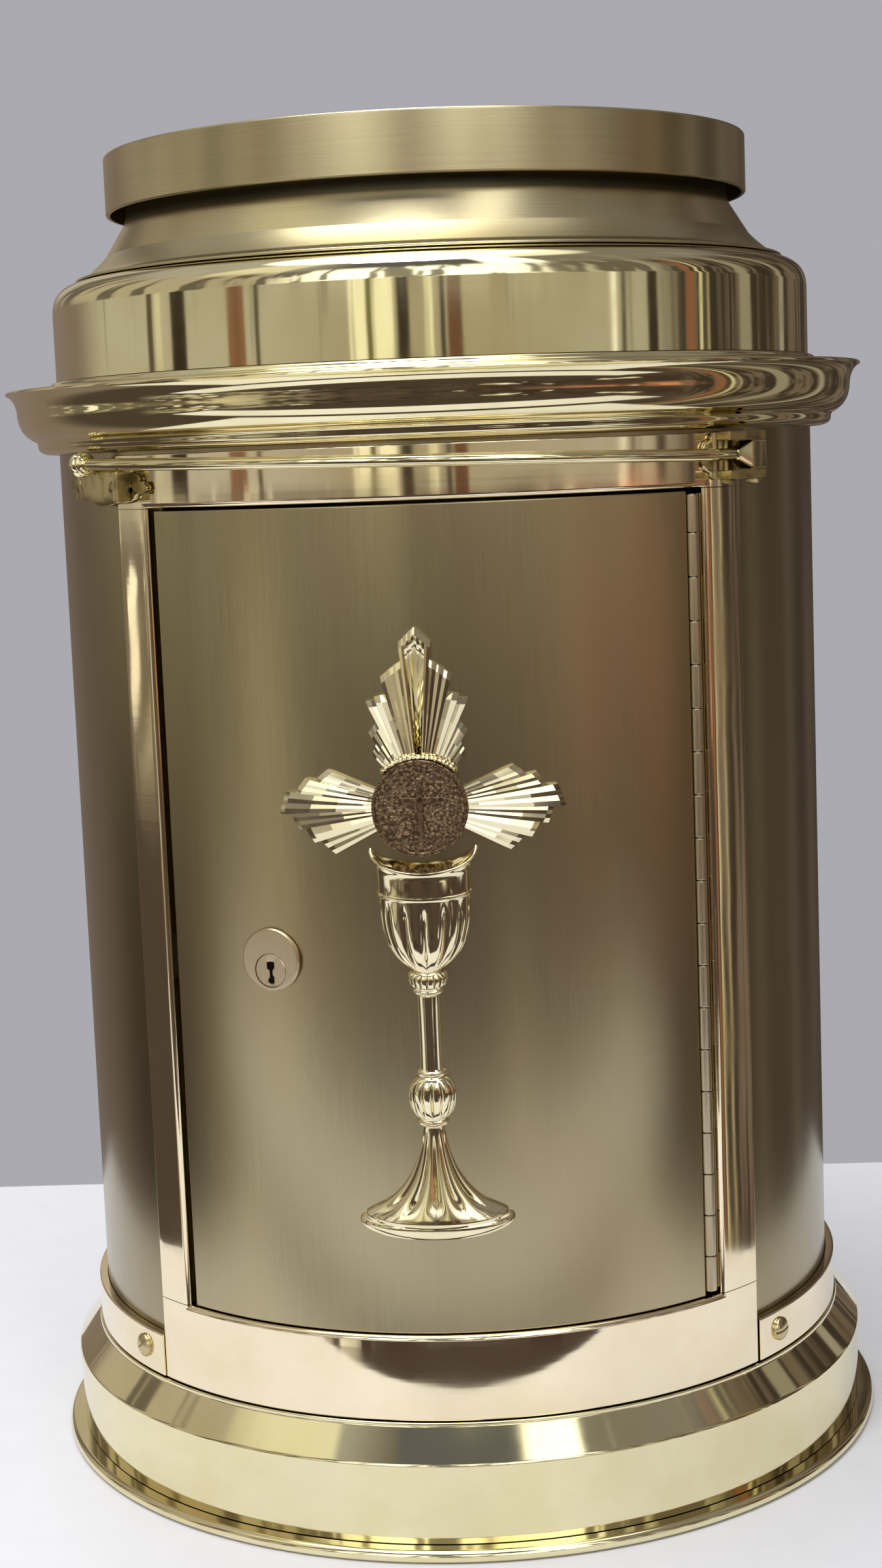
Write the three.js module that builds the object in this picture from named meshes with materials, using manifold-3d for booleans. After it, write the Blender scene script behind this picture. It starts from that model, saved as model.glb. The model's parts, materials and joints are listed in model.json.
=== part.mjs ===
// A round altar tabernacle in brass: a satin drum with a curved, locked door in a polished frame,
// on a spun base and under a moulded cornice, a coved neck and a plain cap.
//
// Millimetres, +Z up. The origin is the middle of the underside of the base and the door faces -Y.
// An azimuth is in degrees round the vertical axis, from 0 at the front and growing to the right.

import * as THREE from 'three';
import { mergeVertices } from 'three/addons/utils/BufferGeometryUtils.js';
import Module from 'manifold-3d';

const wasm = await Module();
wasm.setup();

// Fits and fineness
const fit = 0.3; // gap between pieces that touch
const facets = 40; // faces round the body
const smallFacets = 10; // faces round a screw, pin or knuckle

// Body
const bodyRadius = 152.4;
const bodyWall = 1.6;

// Base
const footBeadHeight = 4.8;
const footReach = 19.2; // beyond the body
const footRimWidth = 9.1;
const basePlateThickness = 3;
const skirtWall = 1.6;
const skirtBottomReach = 12.5; // beyond the body
const skirtEdgeReach = 13.6;
const skirtWallHeight = 31;
const skirtShoulderRise = 11.8;
const skirtShoulderReach = 4.2;
const skirtFlangeWidth = 18;

// Door frame
const frameThickness = 2.6;
const frameHalfSpan = 47.75; // degrees each side of the front
const stileLeftSpan = 6.15; // degrees
const stileRightSpan = 7.25;
const apronHeight = 32.4;
const openingHeight = 304;
const railHeight = 19.6;
const frameChamfer = 1.2;
const seamWidth = 0.3;

// Base collar
const collarThickness = 3.3;
const collarHeight = 17;
const collarScrewOffset = 5.1; // degrees past the frame
const collarScrewHead = 9.2;
const collarScrewShank = 4.4;

// Door
const doorGap = 2.1; // above and below
const doorFreeGap = 3.2; // at the lock side
const doorRecess = 1.6; // door face behind the frame face
const doorThickness = 3;
const doorLinerThickness = 2.5;
const doorLinerMargin = 2;

// Piano hinge
const hingeInset = 1.6; // degrees from the opening's edge to the pin
const knuckleDiameter = 5;
const knucklePitch = 16;
const knuckleProud = 1.9; // barrel in front of the door face
const hingePinDiameter = 2.2;
const leafThickness = 1.1;
const leafWidth = 11.5;

// Door stop
const stopWidth = 17;
const stopThickness = 1.6;
const stopLap = 3.6;

// Lock
const lockInset = 18; // degrees from the opening's edge
const lockRise = 139.7; // middle of its face above the sill
const lockFaceDiameter = 23.4;
const lockFaceThickness = 1.7;
const lockFaceProud = 0.3;
const lockBarrelDiameter = 22.4;
const lockBarrelLength = 24;
const plugDiameter = 12.3;
const plugDrop = 3.9; // plug axis under the face's middle
const keywayWidth = 2.2;
const keywayHeight = 9.4;
const keywayDepth = 18;
const tailWidth = 7;
const tailLength = 4;
const nutWidth = 28;
const nutThickness = 4;
const camReach = 6.6; // tip past the door stop's edge
const camWidth = 14;
const camThickness = 3;
const camScrewHead = 9;
const strikeWidth = 14;
const strikeHeight = 17;
const strikeClearance = 0.8;

// Emblem
const emblemOffset = -1.15; // degrees from the opening's middle
const hostRise = 196.2; // middle of the disc above the sill
const hostRadius = 17.2;
const hostThickness = 2.2;
const hostRimWidth = 1.4;
const crossWidth = 2.4;
const rayEdge = 1.2;
const rayRidge = 2.8;
const emblemBoss = 3.6;
const chaliceDepth = 8;
const studUpperRise = 34; // above the host's middle
const studLowerDrop = 143;
const studDiameter = 3;
const studNutWidth = 7;
const studNutThickness = 2.6;

// Cavity
const cavityFloorThickness = 3;
const cavityFloorDrop = 3.3; // floor under the sill
const cavityCeilingRise = 4.5; // ceiling over the opening
const linerStandoff = 5.8; // behind the body's inner face
const linerWall = 1.5;
const linerPast = 4.25; // degrees its front edges stand back from the frame's

// Cornice and dome
const corniceReveal = 1.2;
const corniceHeight = 28.2;
const corniceBead = 8.3;
const corniceReach = 20.1; // lip beyond the body
const domeWall = 1.6;
const drumInset = 0.4;
const drumHeight = 28;
const drumRoundHeight = 10.4;
const drumRoundWidth = 9.1;
const drumLedge = 8; // flat top inside the round
const neckInset = 4; // foot of the neck inside the drum's round
const neckFlange = 3.5;
const neckSeam = 1.5;
const neckCoveWidth = 18.3;
const neckCoveHeight = 25.4;
const capOverhang = 8.1; // beyond the neck
const capLap = 0.6;
const capHeight = 22.6;
const capWall = 1.6;
const capRounding = 1;

// Veil rod
const rodDiameter = 4.4;
const rodStandoff = 6.2; // rod's middle line in front of the frame
const rodPivotPast = 0.05; // degrees beyond the frame's right edge
const rodPivotRise = 11.2; // above the opening
const rodRise = 5.6; // far end above the pivot
const rodEndPast = 3.75; // degrees beyond the frame's left edge
const finialDiameter = 9;
const finialLength = 7.4;
const blockHeight = 10.2;
const blockWidth = 7;
const blockLength = 8;
const blockTaper = 6.5;
const rodPinDiameter = 3.4;
const rodPinHead = 6.5;

// Rod brackets
const bracketPlate = 1.6;
const bracketLeftPast = 2.45; // degrees its middle is beyond the frame's left edge
const bracketLeftWidth = 52;
const bracketLeftHeight = 14;
const bracketLeftDrop = 11.6; // middle under the frame's top
const saddleInset = 3.75; // degrees inside the frame's left edge
const saddleWidth = 3.2;
const bracketRightInset = 4.55; // degrees its middle is inside the frame's right edge
const bracketRightWidth = 18;
const earThickness = 3.1;
const earWidth = 7;
const bracketScrewHead = 5.4;
const bracketScrewShank = 2.6;
const bracketScrewInset = 0.35; // degrees inside the frame's left edge

// Levels worked out from the sizes above
const skirtBottom = footBeadHeight + fit;
const skirtEdge = skirtBottom + skirtWallHeight;
const skirtTop = skirtEdge + skirtShoulderRise;
const bodyBottom = skirtTop + fit;
const openingBottom = bodyBottom + apronHeight;
const openingTop = openingBottom + openingHeight;
const frameTop = openingTop + railHeight;
const corniceBottom = frameTop + corniceReveal;
const corniceTop = corniceBottom + corniceHeight;
const drumBottom = corniceTop + fit;
const drumEdge = drumBottom + drumHeight;
const drumTop = drumEdge + drumRoundHeight;
const neckBottom = drumTop + fit;
const neckRim = neckBottom + neckCoveHeight + neckSeam;
const capBottom = neckRim - capLap;
const capTop = capBottom + capHeight;
const doorBottom = openingBottom + doorGap;
const doorTop = openingTop - doorGap;
const lockHeight = openingBottom + lockRise;
const plugHeight = lockHeight - plugDrop;
const hostHeight = openingBottom + hostRise;
const rodPivotHeight = openingTop + rodPivotRise;

// Radii worked out from the sizes above
const bodyInner = bodyRadius - bodyWall;
const footRadius = bodyRadius + footReach;
const skirtBottomRadius = bodyRadius + skirtBottomReach;
const skirtEdgeRadius = bodyRadius + skirtEdgeReach;
const skirtShoulderRadius = bodyRadius + skirtShoulderReach;
const linerRadius = bodyInner - linerStandoff;
const drumRadius = bodyRadius - drumInset;
const drumTopRadius = drumRadius - drumRoundWidth;
const neckFootRadius = drumTopRadius - neckInset;
const neckTopRadius = neckFootRadius - neckCoveWidth;
const capRadius = neckTopRadius + capOverhang;
const frameInner = bodyRadius + fit;
const frameOuter = frameInner + frameThickness;
const doorOuter = frameOuter - doorRecess;
const doorInner = doorOuter - doorThickness;
const doorLinerOuter = doorInner - fit;
const doorLinerInner = doorLinerOuter - doorLinerThickness;
const knuckleRadius = knuckleDiameter / 2;
const hingeRadius = doorOuter + knuckleProud - knuckleRadius;
const rodRadius = frameOuter + rodStandoff;

// Azimuths worked out from the sizes above
const openingLeft = stileLeftSpan - frameHalfSpan;
const openingRight = frameHalfSpan - stileRightSpan;
const hingeAzimuth = openingRight - hingeInset;
const lockAzimuth = openingLeft + lockInset;
const emblemAzimuth = (openingLeft + openingRight) / 2 + emblemOffset;
const linerHalfSpan = frameHalfSpan + linerPast;
const rodPivotAzimuth = frameHalfSpan + rodPivotPast;
const rodEndAzimuth = -frameHalfSpan - rodEndPast;
const bracketLeftAzimuth = -frameHalfSpan - bracketLeftPast;
const bracketRightAzimuth = frameHalfSpan - bracketRightInset;
const saddleAzimuth = saddleInset - frameHalfSpan;

const radians = THREE.MathUtils.degToRad;
const degreesFor = (length, radius) => THREE.MathUtils.radToDeg(length / radius);
const facetDip = (radius) => radius * (1 - Math.cos(Math.PI / facets)); // middle of a facet under its corners
const doorLeft = openingLeft + degreesFor(doorFreeGap, frameInner);
const doorRight = hingeAzimuth - degreesFor(knuckleRadius + fit, hingeRadius);

// Solids from three.js geometry

function solidFrom(geometry) {
  const bare = geometry.clone();
  bare.deleteAttribute('normal');
  bare.deleteAttribute('uv');
  const merged = mergeVertices(bare);
  const corners = merged.index.array;
  const kept = [];
  for (let i = 0; i < corners.length; i += 3) {
    const [a, b, c] = [corners[i], corners[i + 1], corners[i + 2]];
    if (a !== b && b !== c && c !== a) kept.push(a, b, c);
  }
  return new wasm.Manifold(new wasm.Mesh({
    numProp: 3,
    vertProperties: new Float32Array(merged.attributes.position.array),
    triVerts: new Uint32Array(kept),
  }));
}

function geometryFrom(solid) {
  const mesh = solid.getMesh();
  const geometry = new THREE.BufferGeometry();
  geometry.setAttribute('position', new THREE.BufferAttribute(mesh.vertProperties, 3));
  geometry.setIndex(new THREE.BufferAttribute(mesh.triVerts, 1));
  geometry.computeVertexNormals();
  return geometry;
}

// Profile of [radius, height] points turned about +Z; the facets start at the front.
function turnedGeometry(profile, segments) {
  const points = profile.map(([radius, height]) => new THREE.Vector2(radius, height));
  if (THREE.ShapeUtils.isClockWise(points)) points.reverse();
  points.push(points[0].clone());
  return new THREE.LatheGeometry(points, segments).rotateX(Math.PI / 2);
}

const turned = (profile, segments = facets) => solidFrom(turnedGeometry(profile, segments));

// Profile turned about an axis that points outwards at an azimuth: heights are radii from the body's axis.
function turnedOutward(profile, azimuth, z, segments = smallFacets) {
  const geometry = turnedGeometry(profile, segments).rotateX(Math.PI / 2).translate(0, 0, z);
  return solidFrom(geometry.rotateZ(radians(azimuth)));
}

// Profile turned about a vertical axis at an azimuth and radius.
function turnedUpright(profile, azimuth, radius, segments = smallFacets) {
  const geometry = turnedGeometry(profile, segments).translate(0, -radius, 0);
  return solidFrom(geometry.rotateZ(radians(azimuth)));
}

// Box in the frame of an azimuth: across to the right, outwards, and up.
function box([left, right], [inner, outer], [bottom, top], azimuth = 0) {
  const geometry = new THREE.BoxGeometry(right - left, outer - inner, top - bottom);
  geometry.translate((left + right) / 2, -(inner + outer) / 2, (bottom + top) / 2);
  return solidFrom(geometry.rotateZ(radians(azimuth)));
}

// Outline in across and up, extruded outwards at an azimuth.
function standing(outline, inner, outer, azimuth, curveSegments = 6) {
  const settings = { depth: outer - inner, bevelEnabled: false, curveSegments };
  const geometry = new THREE.ExtrudeGeometry(outline, settings).translate(0, 0, inner);
  return solidFrom(geometry.rotateX(Math.PI / 2).rotateZ(radians(azimuth)));
}

// Wedge of space between two azimuths, over the whole height.
function wedge(from, to) {
  const reach = 2 * footRadius;
  const steps = Math.ceil((to - from) / 40);
  const outline = new THREE.Shape().moveTo(0, 0);
  for (let step = 0; step <= steps; step += 1) {
    const azimuth = radians(from + ((to - from) * step) / steps);
    outline.lineTo(reach * Math.sin(azimuth), -reach * Math.cos(azimuth));
  }
  outline.closePath();
  const depth = capTop + 20;
  return solidFrom(new THREE.ExtrudeGeometry(outline, { depth, bevelEnabled: false }).translate(0, 0, -10));
}

const ring = (inner, outer, bottom, top) =>
  turned([[inner, bottom], [outer, bottom], [outer, top], [inner, top]]);

const disc = (radius, bottom, top) => turned([[0, bottom], [radius, bottom], [radius, top], [0, top]]);

const curvedPlate = (inner, outer, bottom, top, from, to) =>
  ring(inner, outer, bottom, top).intersect(wedge(from, to));

// Points of a smooth curve, without its first one.
const curvePoints = (curve, count) => curve.getPoints(count).slice(1).map(({ x, y }) => [x, y]);

const bend = (from, control, to, count) =>
  curvePoints(new THREE.QuadraticBezierCurve(
    new THREE.Vector2(...from), new THREE.Vector2(...control), new THREE.Vector2(...to)), count);

const arc = (x, y, radius, from, to, count) =>
  curvePoints(new THREE.EllipseCurve(x, y, radius, radius, radians(from), radians(to), to < from), count);

// Base

function footRing() {
  const beadRadius = footBeadHeight / 2;
  const middle = footRadius - beadRadius;
  const inner = footRadius - footRimWidth;
  return turned([[inner, 0], [middle, 0], ...arc(middle, beadRadius, beadRadius, -90, 90, 4), [inner, footBeadHeight]]);
}

function basePlate() {
  return disc(footRadius - footRimWidth - fit, 0, basePlateThickness);
}

function baseSkirt() {
  const shoulderStart = skirtEdge - skirtWall / 2;
  return turned([
    [skirtBottomRadius - skirtWall, skirtBottom],
    [skirtBottomRadius, skirtBottom],
    [skirtEdgeRadius, shoulderStart],
    [skirtShoulderRadius, skirtTop - skirtWall],
    [skirtShoulderRadius, skirtTop],
    [skirtShoulderRadius - skirtFlangeWidth, skirtTop],
    [skirtShoulderRadius - skirtFlangeWidth, skirtTop - skirtWall],
    [skirtShoulderRadius - 2 * skirtWall, skirtTop - skirtWall],
    [skirtEdgeRadius - skirtWall, shoulderStart - skirtWall / 2],
  ]);
}

// Collar and its two screws

const collarOuter = frameInner + collarThickness;
const collarTop = bodyBottom + collarHeight;
const collarScrewAzimuth = frameHalfSpan + collarScrewOffset;
const collarScrewHeight = bodyBottom + collarHeight * 0.55;

const screwHole = (shank, inner, outer, azimuth, z) =>
  turnedOutward([[0, inner], [shank / 2 + fit, inner], [shank / 2 + fit, outer], [0, outer]], azimuth, z);

// Slotted round-head screw whose head sits on a surface of the given radius.
function slottedScrew(head, shank, seat, length, azimuth, z) {
  const rise = head * 0.3;
  const bottom = seat + fit;
  const dome = bend([head / 2, bottom + rise * 0.25], [head * 0.36, bottom + rise], [0, bottom + rise], 3);
  const body = turnedOutward([
    [0, seat - length], [shank / 2, seat - length], [shank / 2, bottom], [head / 2, bottom],
    [head / 2, bottom + rise * 0.25], ...dome,
  ], azimuth, z);
  const slot = head * 0.075;
  return body.subtract(box([-head, head], [bottom + rise * 0.5, bottom + rise * 2], [z - slot, z + slot], azimuth));
}

function baseCollar() {
  const gap = degreesFor(fit, frameInner);
  let collar = curvedPlate(frameInner, collarOuter, bodyBottom, collarTop, frameHalfSpan + gap, 360 - frameHalfSpan - gap);
  for (const side of [-1, 1]) {
    collar = collar.subtract(screwHole(collarScrewShank, bodyInner - 5, collarOuter + 5, side * collarScrewAzimuth, collarScrewHeight));
  }
  return collar;
}

const collarScrew = (side) =>
  slottedScrew(collarScrewHead, collarScrewShank, collarOuter, 8, side * collarScrewAzimuth, collarScrewHeight);

// Body shell, open at the front and cut back further on the hinge side for the fixed leaf

const shellLeft = openingLeft - 1.6;
const shellRight = hingeAzimuth + degreesFor(leafWidth + knuckleRadius * 2, bodyRadius) + 1;
const shellReveal = 3;

function bodyShell() {
  const doorway = curvedPlate(
    bodyInner - 10, bodyRadius + 10, openingBottom - shellReveal, openingTop + shellReveal, shellLeft, shellRight);
  let shell = ring(bodyInner, bodyRadius, bodyBottom, corniceTop).subtract(doorway);
  for (const side of [-1, 1]) {
    shell = shell.subtract(screwHole(collarScrewShank, bodyInner - 5, bodyRadius + 5, side * collarScrewAzimuth, collarScrewHeight));
  }
  for (const screw of bracketScrews) {
    shell = shell.subtract(screwHole(bracketScrewShank, bodyInner - 5, bodyRadius + 5, screw.azimuth, screw.z));
  }
  return shell;
}

// Door frame: rail, two stiles and apron, soldered at their seams

// The opening widens towards the front by a chamfer all round.
function frameOpening() {
  const flare = degreesFor(frameChamfer, frameOuter);
  const straight = curvedPlate(frameInner - 5, frameOuter + 5, openingBottom, openingTop, openingLeft, openingRight);
  const flared = curvedPlate(
    frameOuter - frameChamfer / 2, frameOuter + 5,
    openingBottom - frameChamfer, openingTop + frameChamfer, openingLeft - flare, openingRight + flare);
  return straight.add(flared);
}

function framePiece(bottom, top, from, to) {
  let piece = curvedPlate(frameInner, frameOuter, bottom, top, from, to).subtract(frameOpening());
  for (const screw of bracketScrews) {
    piece = piece.subtract(screwHole(bracketScrewShank, bodyInner - 5, frameOuter + 5, screw.azimuth, screw.z));
  }
  return piece;
}

const frameApron = () => framePiece(bodyBottom, openingBottom, -frameHalfSpan, frameHalfSpan);
const frameRail = () => framePiece(openingTop, frameTop, -frameHalfSpan, frameHalfSpan);
const frameStileLeft = () =>
  framePiece(openingBottom + seamWidth, openingTop - seamWidth, -frameHalfSpan, openingLeft);
const frameStileRight = () =>
  framePiece(openingBottom + seamWidth, openingTop - seamWidth, openingRight, frameHalfSpan);

// Door

const lockHole = (inner, outer) => {
  const radius = lockBarrelDiameter / 2 + fit;
  return turnedOutward([[0, inner], [radius, inner], [radius, outer], [0, outer]], lockAzimuth, lockHeight, 24);
};

const studs = [
  { name: 'upper', z: hostHeight + studUpperRise },
  { name: 'middle', z: hostHeight },
  { name: 'lower', z: hostHeight - studLowerDrop },
];

const studHole = (inner, outer, z) => screwHole(studDiameter, inner, outer, emblemAzimuth, z);

function doorPanel() {
  let panel = curvedPlate(doorInner, doorOuter, doorBottom, doorTop, doorLeft, doorRight);
  panel = panel.subtract(lockHole(doorInner - 5, doorOuter + 5));
  for (const stud of studs) panel = panel.subtract(studHole(doorInner - 5, doorOuter + 5, stud.z));
  return panel;
}

const leafLeft = hingeAzimuth - degreesFor(leafWidth, hingeRadius);
const stopRight = shellLeft + degreesFor(stopLap + 4, bodyInner);

function doorLiner() {
  const left = stopRight + degreesFor(doorLinerMargin, doorLinerInner);
  const right = leafLeft - degreesFor(fit, doorLinerInner);
  const bottom = doorBottom + doorLinerMargin;
  const top = doorTop - doorLinerMargin;
  let liner = curvedPlate(doorLinerInner, doorLinerOuter, bottom, top, left, right);
  liner = liner.subtract(lockHole(doorLinerInner - 5, doorLinerOuter + 5));
  for (const stud of studs) liner = liner.subtract(studHole(doorLinerInner - 5, doorLinerOuter + 5, stud.z));
  return liner;
}

// Piano hinge: two leaves whose knuckles take turns on one pin

const hingeLength = doorTop - doorBottom;
const knuckleCount = 2 * Math.floor((hingeLength / knucklePitch - 1) / 2) + 1;
const endKnuckle = (hingeLength - (knuckleCount - 2) * knucklePitch) / 2;

// Bottom and top of each knuckle, the two end ones taking up the rest of the length.
function knuckleSpans() {
  const spans = [];
  let bottom = doorBottom;
  for (let i = 0; i < knuckleCount; i += 1) {
    const isEnd = i === 0 || i === knuckleCount - 1;
    const top = bottom + (isEnd ? endKnuckle : knucklePitch);
    spans.push([bottom + fit / 2, top - fit / 2]);
    bottom = top;
  }
  return spans;
}

const fixedSpans = knuckleSpans().filter((span, i) => i % 2 === 0);
const movingSpans = knuckleSpans().filter((span, i) => i % 2 === 1);

const hingeBore = () => {
  const radius = hingePinDiameter / 2 + fit;
  const profile = [[0, doorBottom - 5], [radius, doorBottom - 5], [radius, doorTop + 5], [0, doorTop + 5]];
  return turnedUpright(profile, hingeAzimuth, hingeRadius, 8);
};

const knuckle = ([bottom, top]) =>
  turnedUpright([[0, bottom], [knuckleRadius, bottom], [knuckleRadius, top], [0, top]], hingeAzimuth, hingeRadius, 8);

// The moving leaf lies behind the door's edge and its tabs turn out to the barrel.
function hingeLeafMoving() {
  const inner = doorLinerOuter - leafThickness;
  const tabLeft = doorRight + degreesFor(fit, hingeRadius);
  let leaf = curvedPlate(inner, doorLinerOuter, doorBottom, doorTop, leafLeft, hingeAzimuth);
  for (const span of movingSpans) {
    const tab = curvedPlate(inner, hingeRadius, ...span, tabLeft, hingeAzimuth);
    leaf = leaf.add(tab).add(knuckle(span));
  }
  return leaf.subtract(hingeBore());
}

// The fixed leaf lies behind the right stile, in the body's wider cut.
function hingeLeafFixed() {
  const outer = bodyRadius;
  const inner = outer - leafThickness;
  const left = hingeAzimuth + degreesFor(knuckleRadius + 2 * fit, hingeRadius);
  const right = shellRight - degreesFor(fit, inner);
  let leaf = curvedPlate(inner, outer, doorBottom, doorTop, left, right);
  for (const span of fixedSpans) {
    const tab = curvedPlate(inner, outer, ...span, hingeAzimuth, left + 0.5);
    leaf = leaf.add(tab).add(knuckle(span));
  }
  return leaf.subtract(hingeBore());
}

function hingePin() {
  const radius = hingePinDiameter / 2;
  const profile = [[0, doorBottom], [radius, doorBottom], [radius, doorTop], [0, doorTop]];
  return turnedUpright(profile, hingeAzimuth, hingeRadius, 8);
}

// Stop strip that the door's back closes on, notched round the strike

function doorStop() {
  const outer = Math.min(bodyInner, doorInner) - fit;
  const inner = outer - stopThickness;
  const left = stopRight - degreesFor(stopWidth, outer);
  const strip = curvedPlate(inner, outer, openingBottom, openingTop, left, stopRight);
  const half = strikeHeight / 2 + fit;
  const notch = curvedPlate(inner - 5, outer + 5, plugHeight - half, plugHeight + half, left - 1, stopRight + 1);
  return { strip, notch };
}

// Lock

const lockFace = doorOuter + lockFaceThickness + lockFaceProud;
const barrelEnd = lockFace - lockFaceThickness - lockBarrelLength;
const camOuter = barrelEnd - fit;
const camInner = camOuter - camThickness;
const camLength = bodyInner * Math.sin(radians(lockAzimuth - stopRight)) + camReach;

function lockCylinder() {
  const faceRadius = lockFaceDiameter / 2;
  const faceBack = lockFace - lockFaceThickness;
  const shell = turnedOutward([
    [0, barrelEnd], [lockBarrelDiameter / 2, barrelEnd], [lockBarrelDiameter / 2, faceBack],
    [faceRadius, faceBack], [faceRadius, lockFace - 0.5], [faceRadius - 0.5, lockFace], [0, lockFace],
  ], lockAzimuth, lockHeight, 24);
  const boreRadius = plugDiameter / 2 + fit;
  const bore = turnedOutward(
    [[0, barrelEnd - 5], [boreRadius, barrelEnd - 5], [boreRadius, lockFace + 5], [0, lockFace + 5]],
    lockAzimuth, plugHeight, 20);
  return shell.subtract(bore);
}

function lockPlug() {
  const radius = plugDiameter / 2;
  const back = camOuter + fit;
  const drum = turnedOutward(
    [[0, back], [radius, back], [radius, lockFace], [0, lockFace]], lockAzimuth, plugHeight, 20);
  const half = tailWidth / 2;
  const tail = box([-half, half], [back - tailLength, back + 1], [plugHeight - half, plugHeight + half], lockAzimuth);
  const top = plugHeight + keywayHeight * 0.42;
  const middle = top - keywayHeight / 2;
  const step = keywayWidth * 0.35;
  const upper = box([-keywayWidth / 2 - step, keywayWidth / 2 - step],
    [lockFace - keywayDepth, lockFace + 5], [middle - 0.5, top], lockAzimuth);
  const lower = box([-keywayWidth / 2 + step, keywayWidth / 2 + step],
    [lockFace - keywayDepth, lockFace + 5], [top - keywayHeight, middle + 0.5], lockAzimuth);
  return drum.add(tail).subtract(upper).subtract(lower).subtract(camScrewHole());
}

const camScrewShank = 3;
const camScrewLength = 7;
const tailEnd = camOuter + fit - tailLength;

const camScrewHole = () => screwHole(camScrewShank, tailEnd - 5, tailEnd + camScrewLength, lockAzimuth, plugHeight);

function camScrew() {
  const bottom = tailEnd - fit - 2;
  const length = camScrewLength - fit;
  return turnedOutward([
    [0, bottom], [camScrewHead / 2, bottom], [camScrewHead / 2, tailEnd - fit],
    [camScrewShank / 2, tailEnd - fit], [camScrewShank / 2, tailEnd + length], [0, tailEnd + length],
  ], lockAzimuth, plugHeight);
}

function lockCam() {
  const half = camWidth / 2;
  const outline = new THREE.Shape().moveTo(half, plugHeight);
  outline.absarc(0, plugHeight, half, 0, Math.PI, false);
  outline.lineTo(-half, plugHeight - camLength + half);
  outline.absarc(0, plugHeight - camLength + half, half, Math.PI, 2 * Math.PI, false);
  outline.closePath();
  const hole = tailWidth / 2 + fit;
  return standing(outline, camInner, camOuter, lockAzimuth)
    .subtract(box([-hole, hole], [camInner - 5, camOuter + 5], [plugHeight - hole, plugHeight + hole], lockAzimuth));
}

// Hexagon nut with a round hole, its flats across the given width.
function hexNut(width, hole, inner, outer, azimuth, z) {
  const radius = width / Math.sqrt(3);
  const body = turnedOutward([[0, inner], [radius, inner], [radius, outer], [0, outer]], azimuth, z, 6);
  const bore = [[0, inner - 5], [hole, inner - 5], [hole, outer + 5], [0, outer + 5]];
  return body.subtract(turnedOutward(bore, azimuth, z, width > 10 ? 24 : 12));
}

// A flat nut inside a curved wall touches it at its corners.
const flatSeat = (radius, halfWidth) => Math.sqrt(radius ** 2 - halfWidth ** 2) - fit - facetDip(radius);

function lockNut() {
  const outer = flatSeat(doorLinerInner, nutWidth / Math.sqrt(3));
  return hexNut(nutWidth, lockBarrelDiameter / 2 + fit, outer - nutThickness, outer, lockAzimuth, lockHeight);
}

// Block on the body's wall, in front of the tip of the turned cam.
function lockStrike() {
  const far = -camLength - strikeWidth / 2;
  const block = box([far, far + strikeWidth], [camOuter + strikeClearance, bodyRadius],
    [plugHeight - strikeHeight / 2, plugHeight + strikeHeight / 2], lockAzimuth);
  return block.intersect(disc(Math.min(bodyInner, doorInner) - fit, 0, capTop));
}

// Emblem

// A flat point, across and proud of the door, laid round the door's face.
function layOnDoor(geometry) {
  const position = geometry.attributes.position;
  for (let i = 0; i < position.count; i += 1) {
    const radius = doorOuter - position.getY(i);
    const angle = position.getX(i) / doorOuter;
    position.setXY(i, radius * Math.sin(angle), -radius * Math.cos(angle));
  }
  return geometry.rotateZ(radians(emblemAzimuth));
}

// Ridged flute from the host's middle between two angles from the upright. Its tip is cut from one reach
// at the first angle to another at the second.
function flute({ from, to, reach }) {
  const section = new THREE.Shape([
    new THREE.Vector2(-1, -1), new THREE.Vector2(1, -1), new THREE.Vector2(1, rayEdge),
    new THREE.Vector2(0, rayRidge), new THREE.Vector2(-1, rayEdge),
  ]);
  const middle = radians((from + to) / 2);
  const steps = Math.abs(Math.sin(middle)) > 0.7 ? 2 : 1; // the sideways ones bend round the door
  const geometry = new THREE.ExtrudeGeometry(section, { depth: 1, steps, bevelEnabled: false });
  const start = hostRadius * 0.6;
  const slope = Math.tan(radians((to - from) / 2 + 0.3));
  const position = geometry.attributes.position;
  for (let i = 0; i < position.count; i += 1) {
    const side = (1 - position.getX(i)) / 2;
    const along = start + (THREE.MathUtils.lerp(...reach, side) - start) * position.getZ(i);
    const aside = -position.getX(i) * along * slope;
    const across = along * Math.sin(middle) + aside * Math.cos(middle);
    const up = along * Math.cos(middle) - aside * Math.sin(middle);
    position.setXYZ(i, across, -position.getY(i), hostHeight + up);
  }
  return solidFrom(layOnDoor(geometry));
}

// Tiers of rays on one side: angles from the upright, and reaches of the tip from the host's middle.
const tiers = [
  { from: 0, to: 5.5, reach: [63.7, 58.7], flutes: 2 },
  { from: 5.5, to: 15, reach: [52.6, 48], flutes: 2 },
  { from: 15, to: 25.5, reach: [41.7, 42.4], flutes: 2 },
  { from: 25.5, to: 33, reach: [33.6, 32], flutes: 2 },
  { from: 33, to: 41, reach: [27, 25.5], flutes: 2 },
  { from: 68, to: 76, reach: [36, 39.5], flutes: 2 },
  { from: 76, to: 84, reach: [43, 46], flutes: 2 },
  { from: 84, to: 93, reach: [50, 52], flutes: 2 },
  { from: 93, to: 100, reach: [47.5, 46], flutes: 2 },
  { from: 100, to: 108, reach: [43, 41], flutes: 2 },
  { from: 108, to: 118, reach: [38.5, 35.5], flutes: 2 },
];

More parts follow.
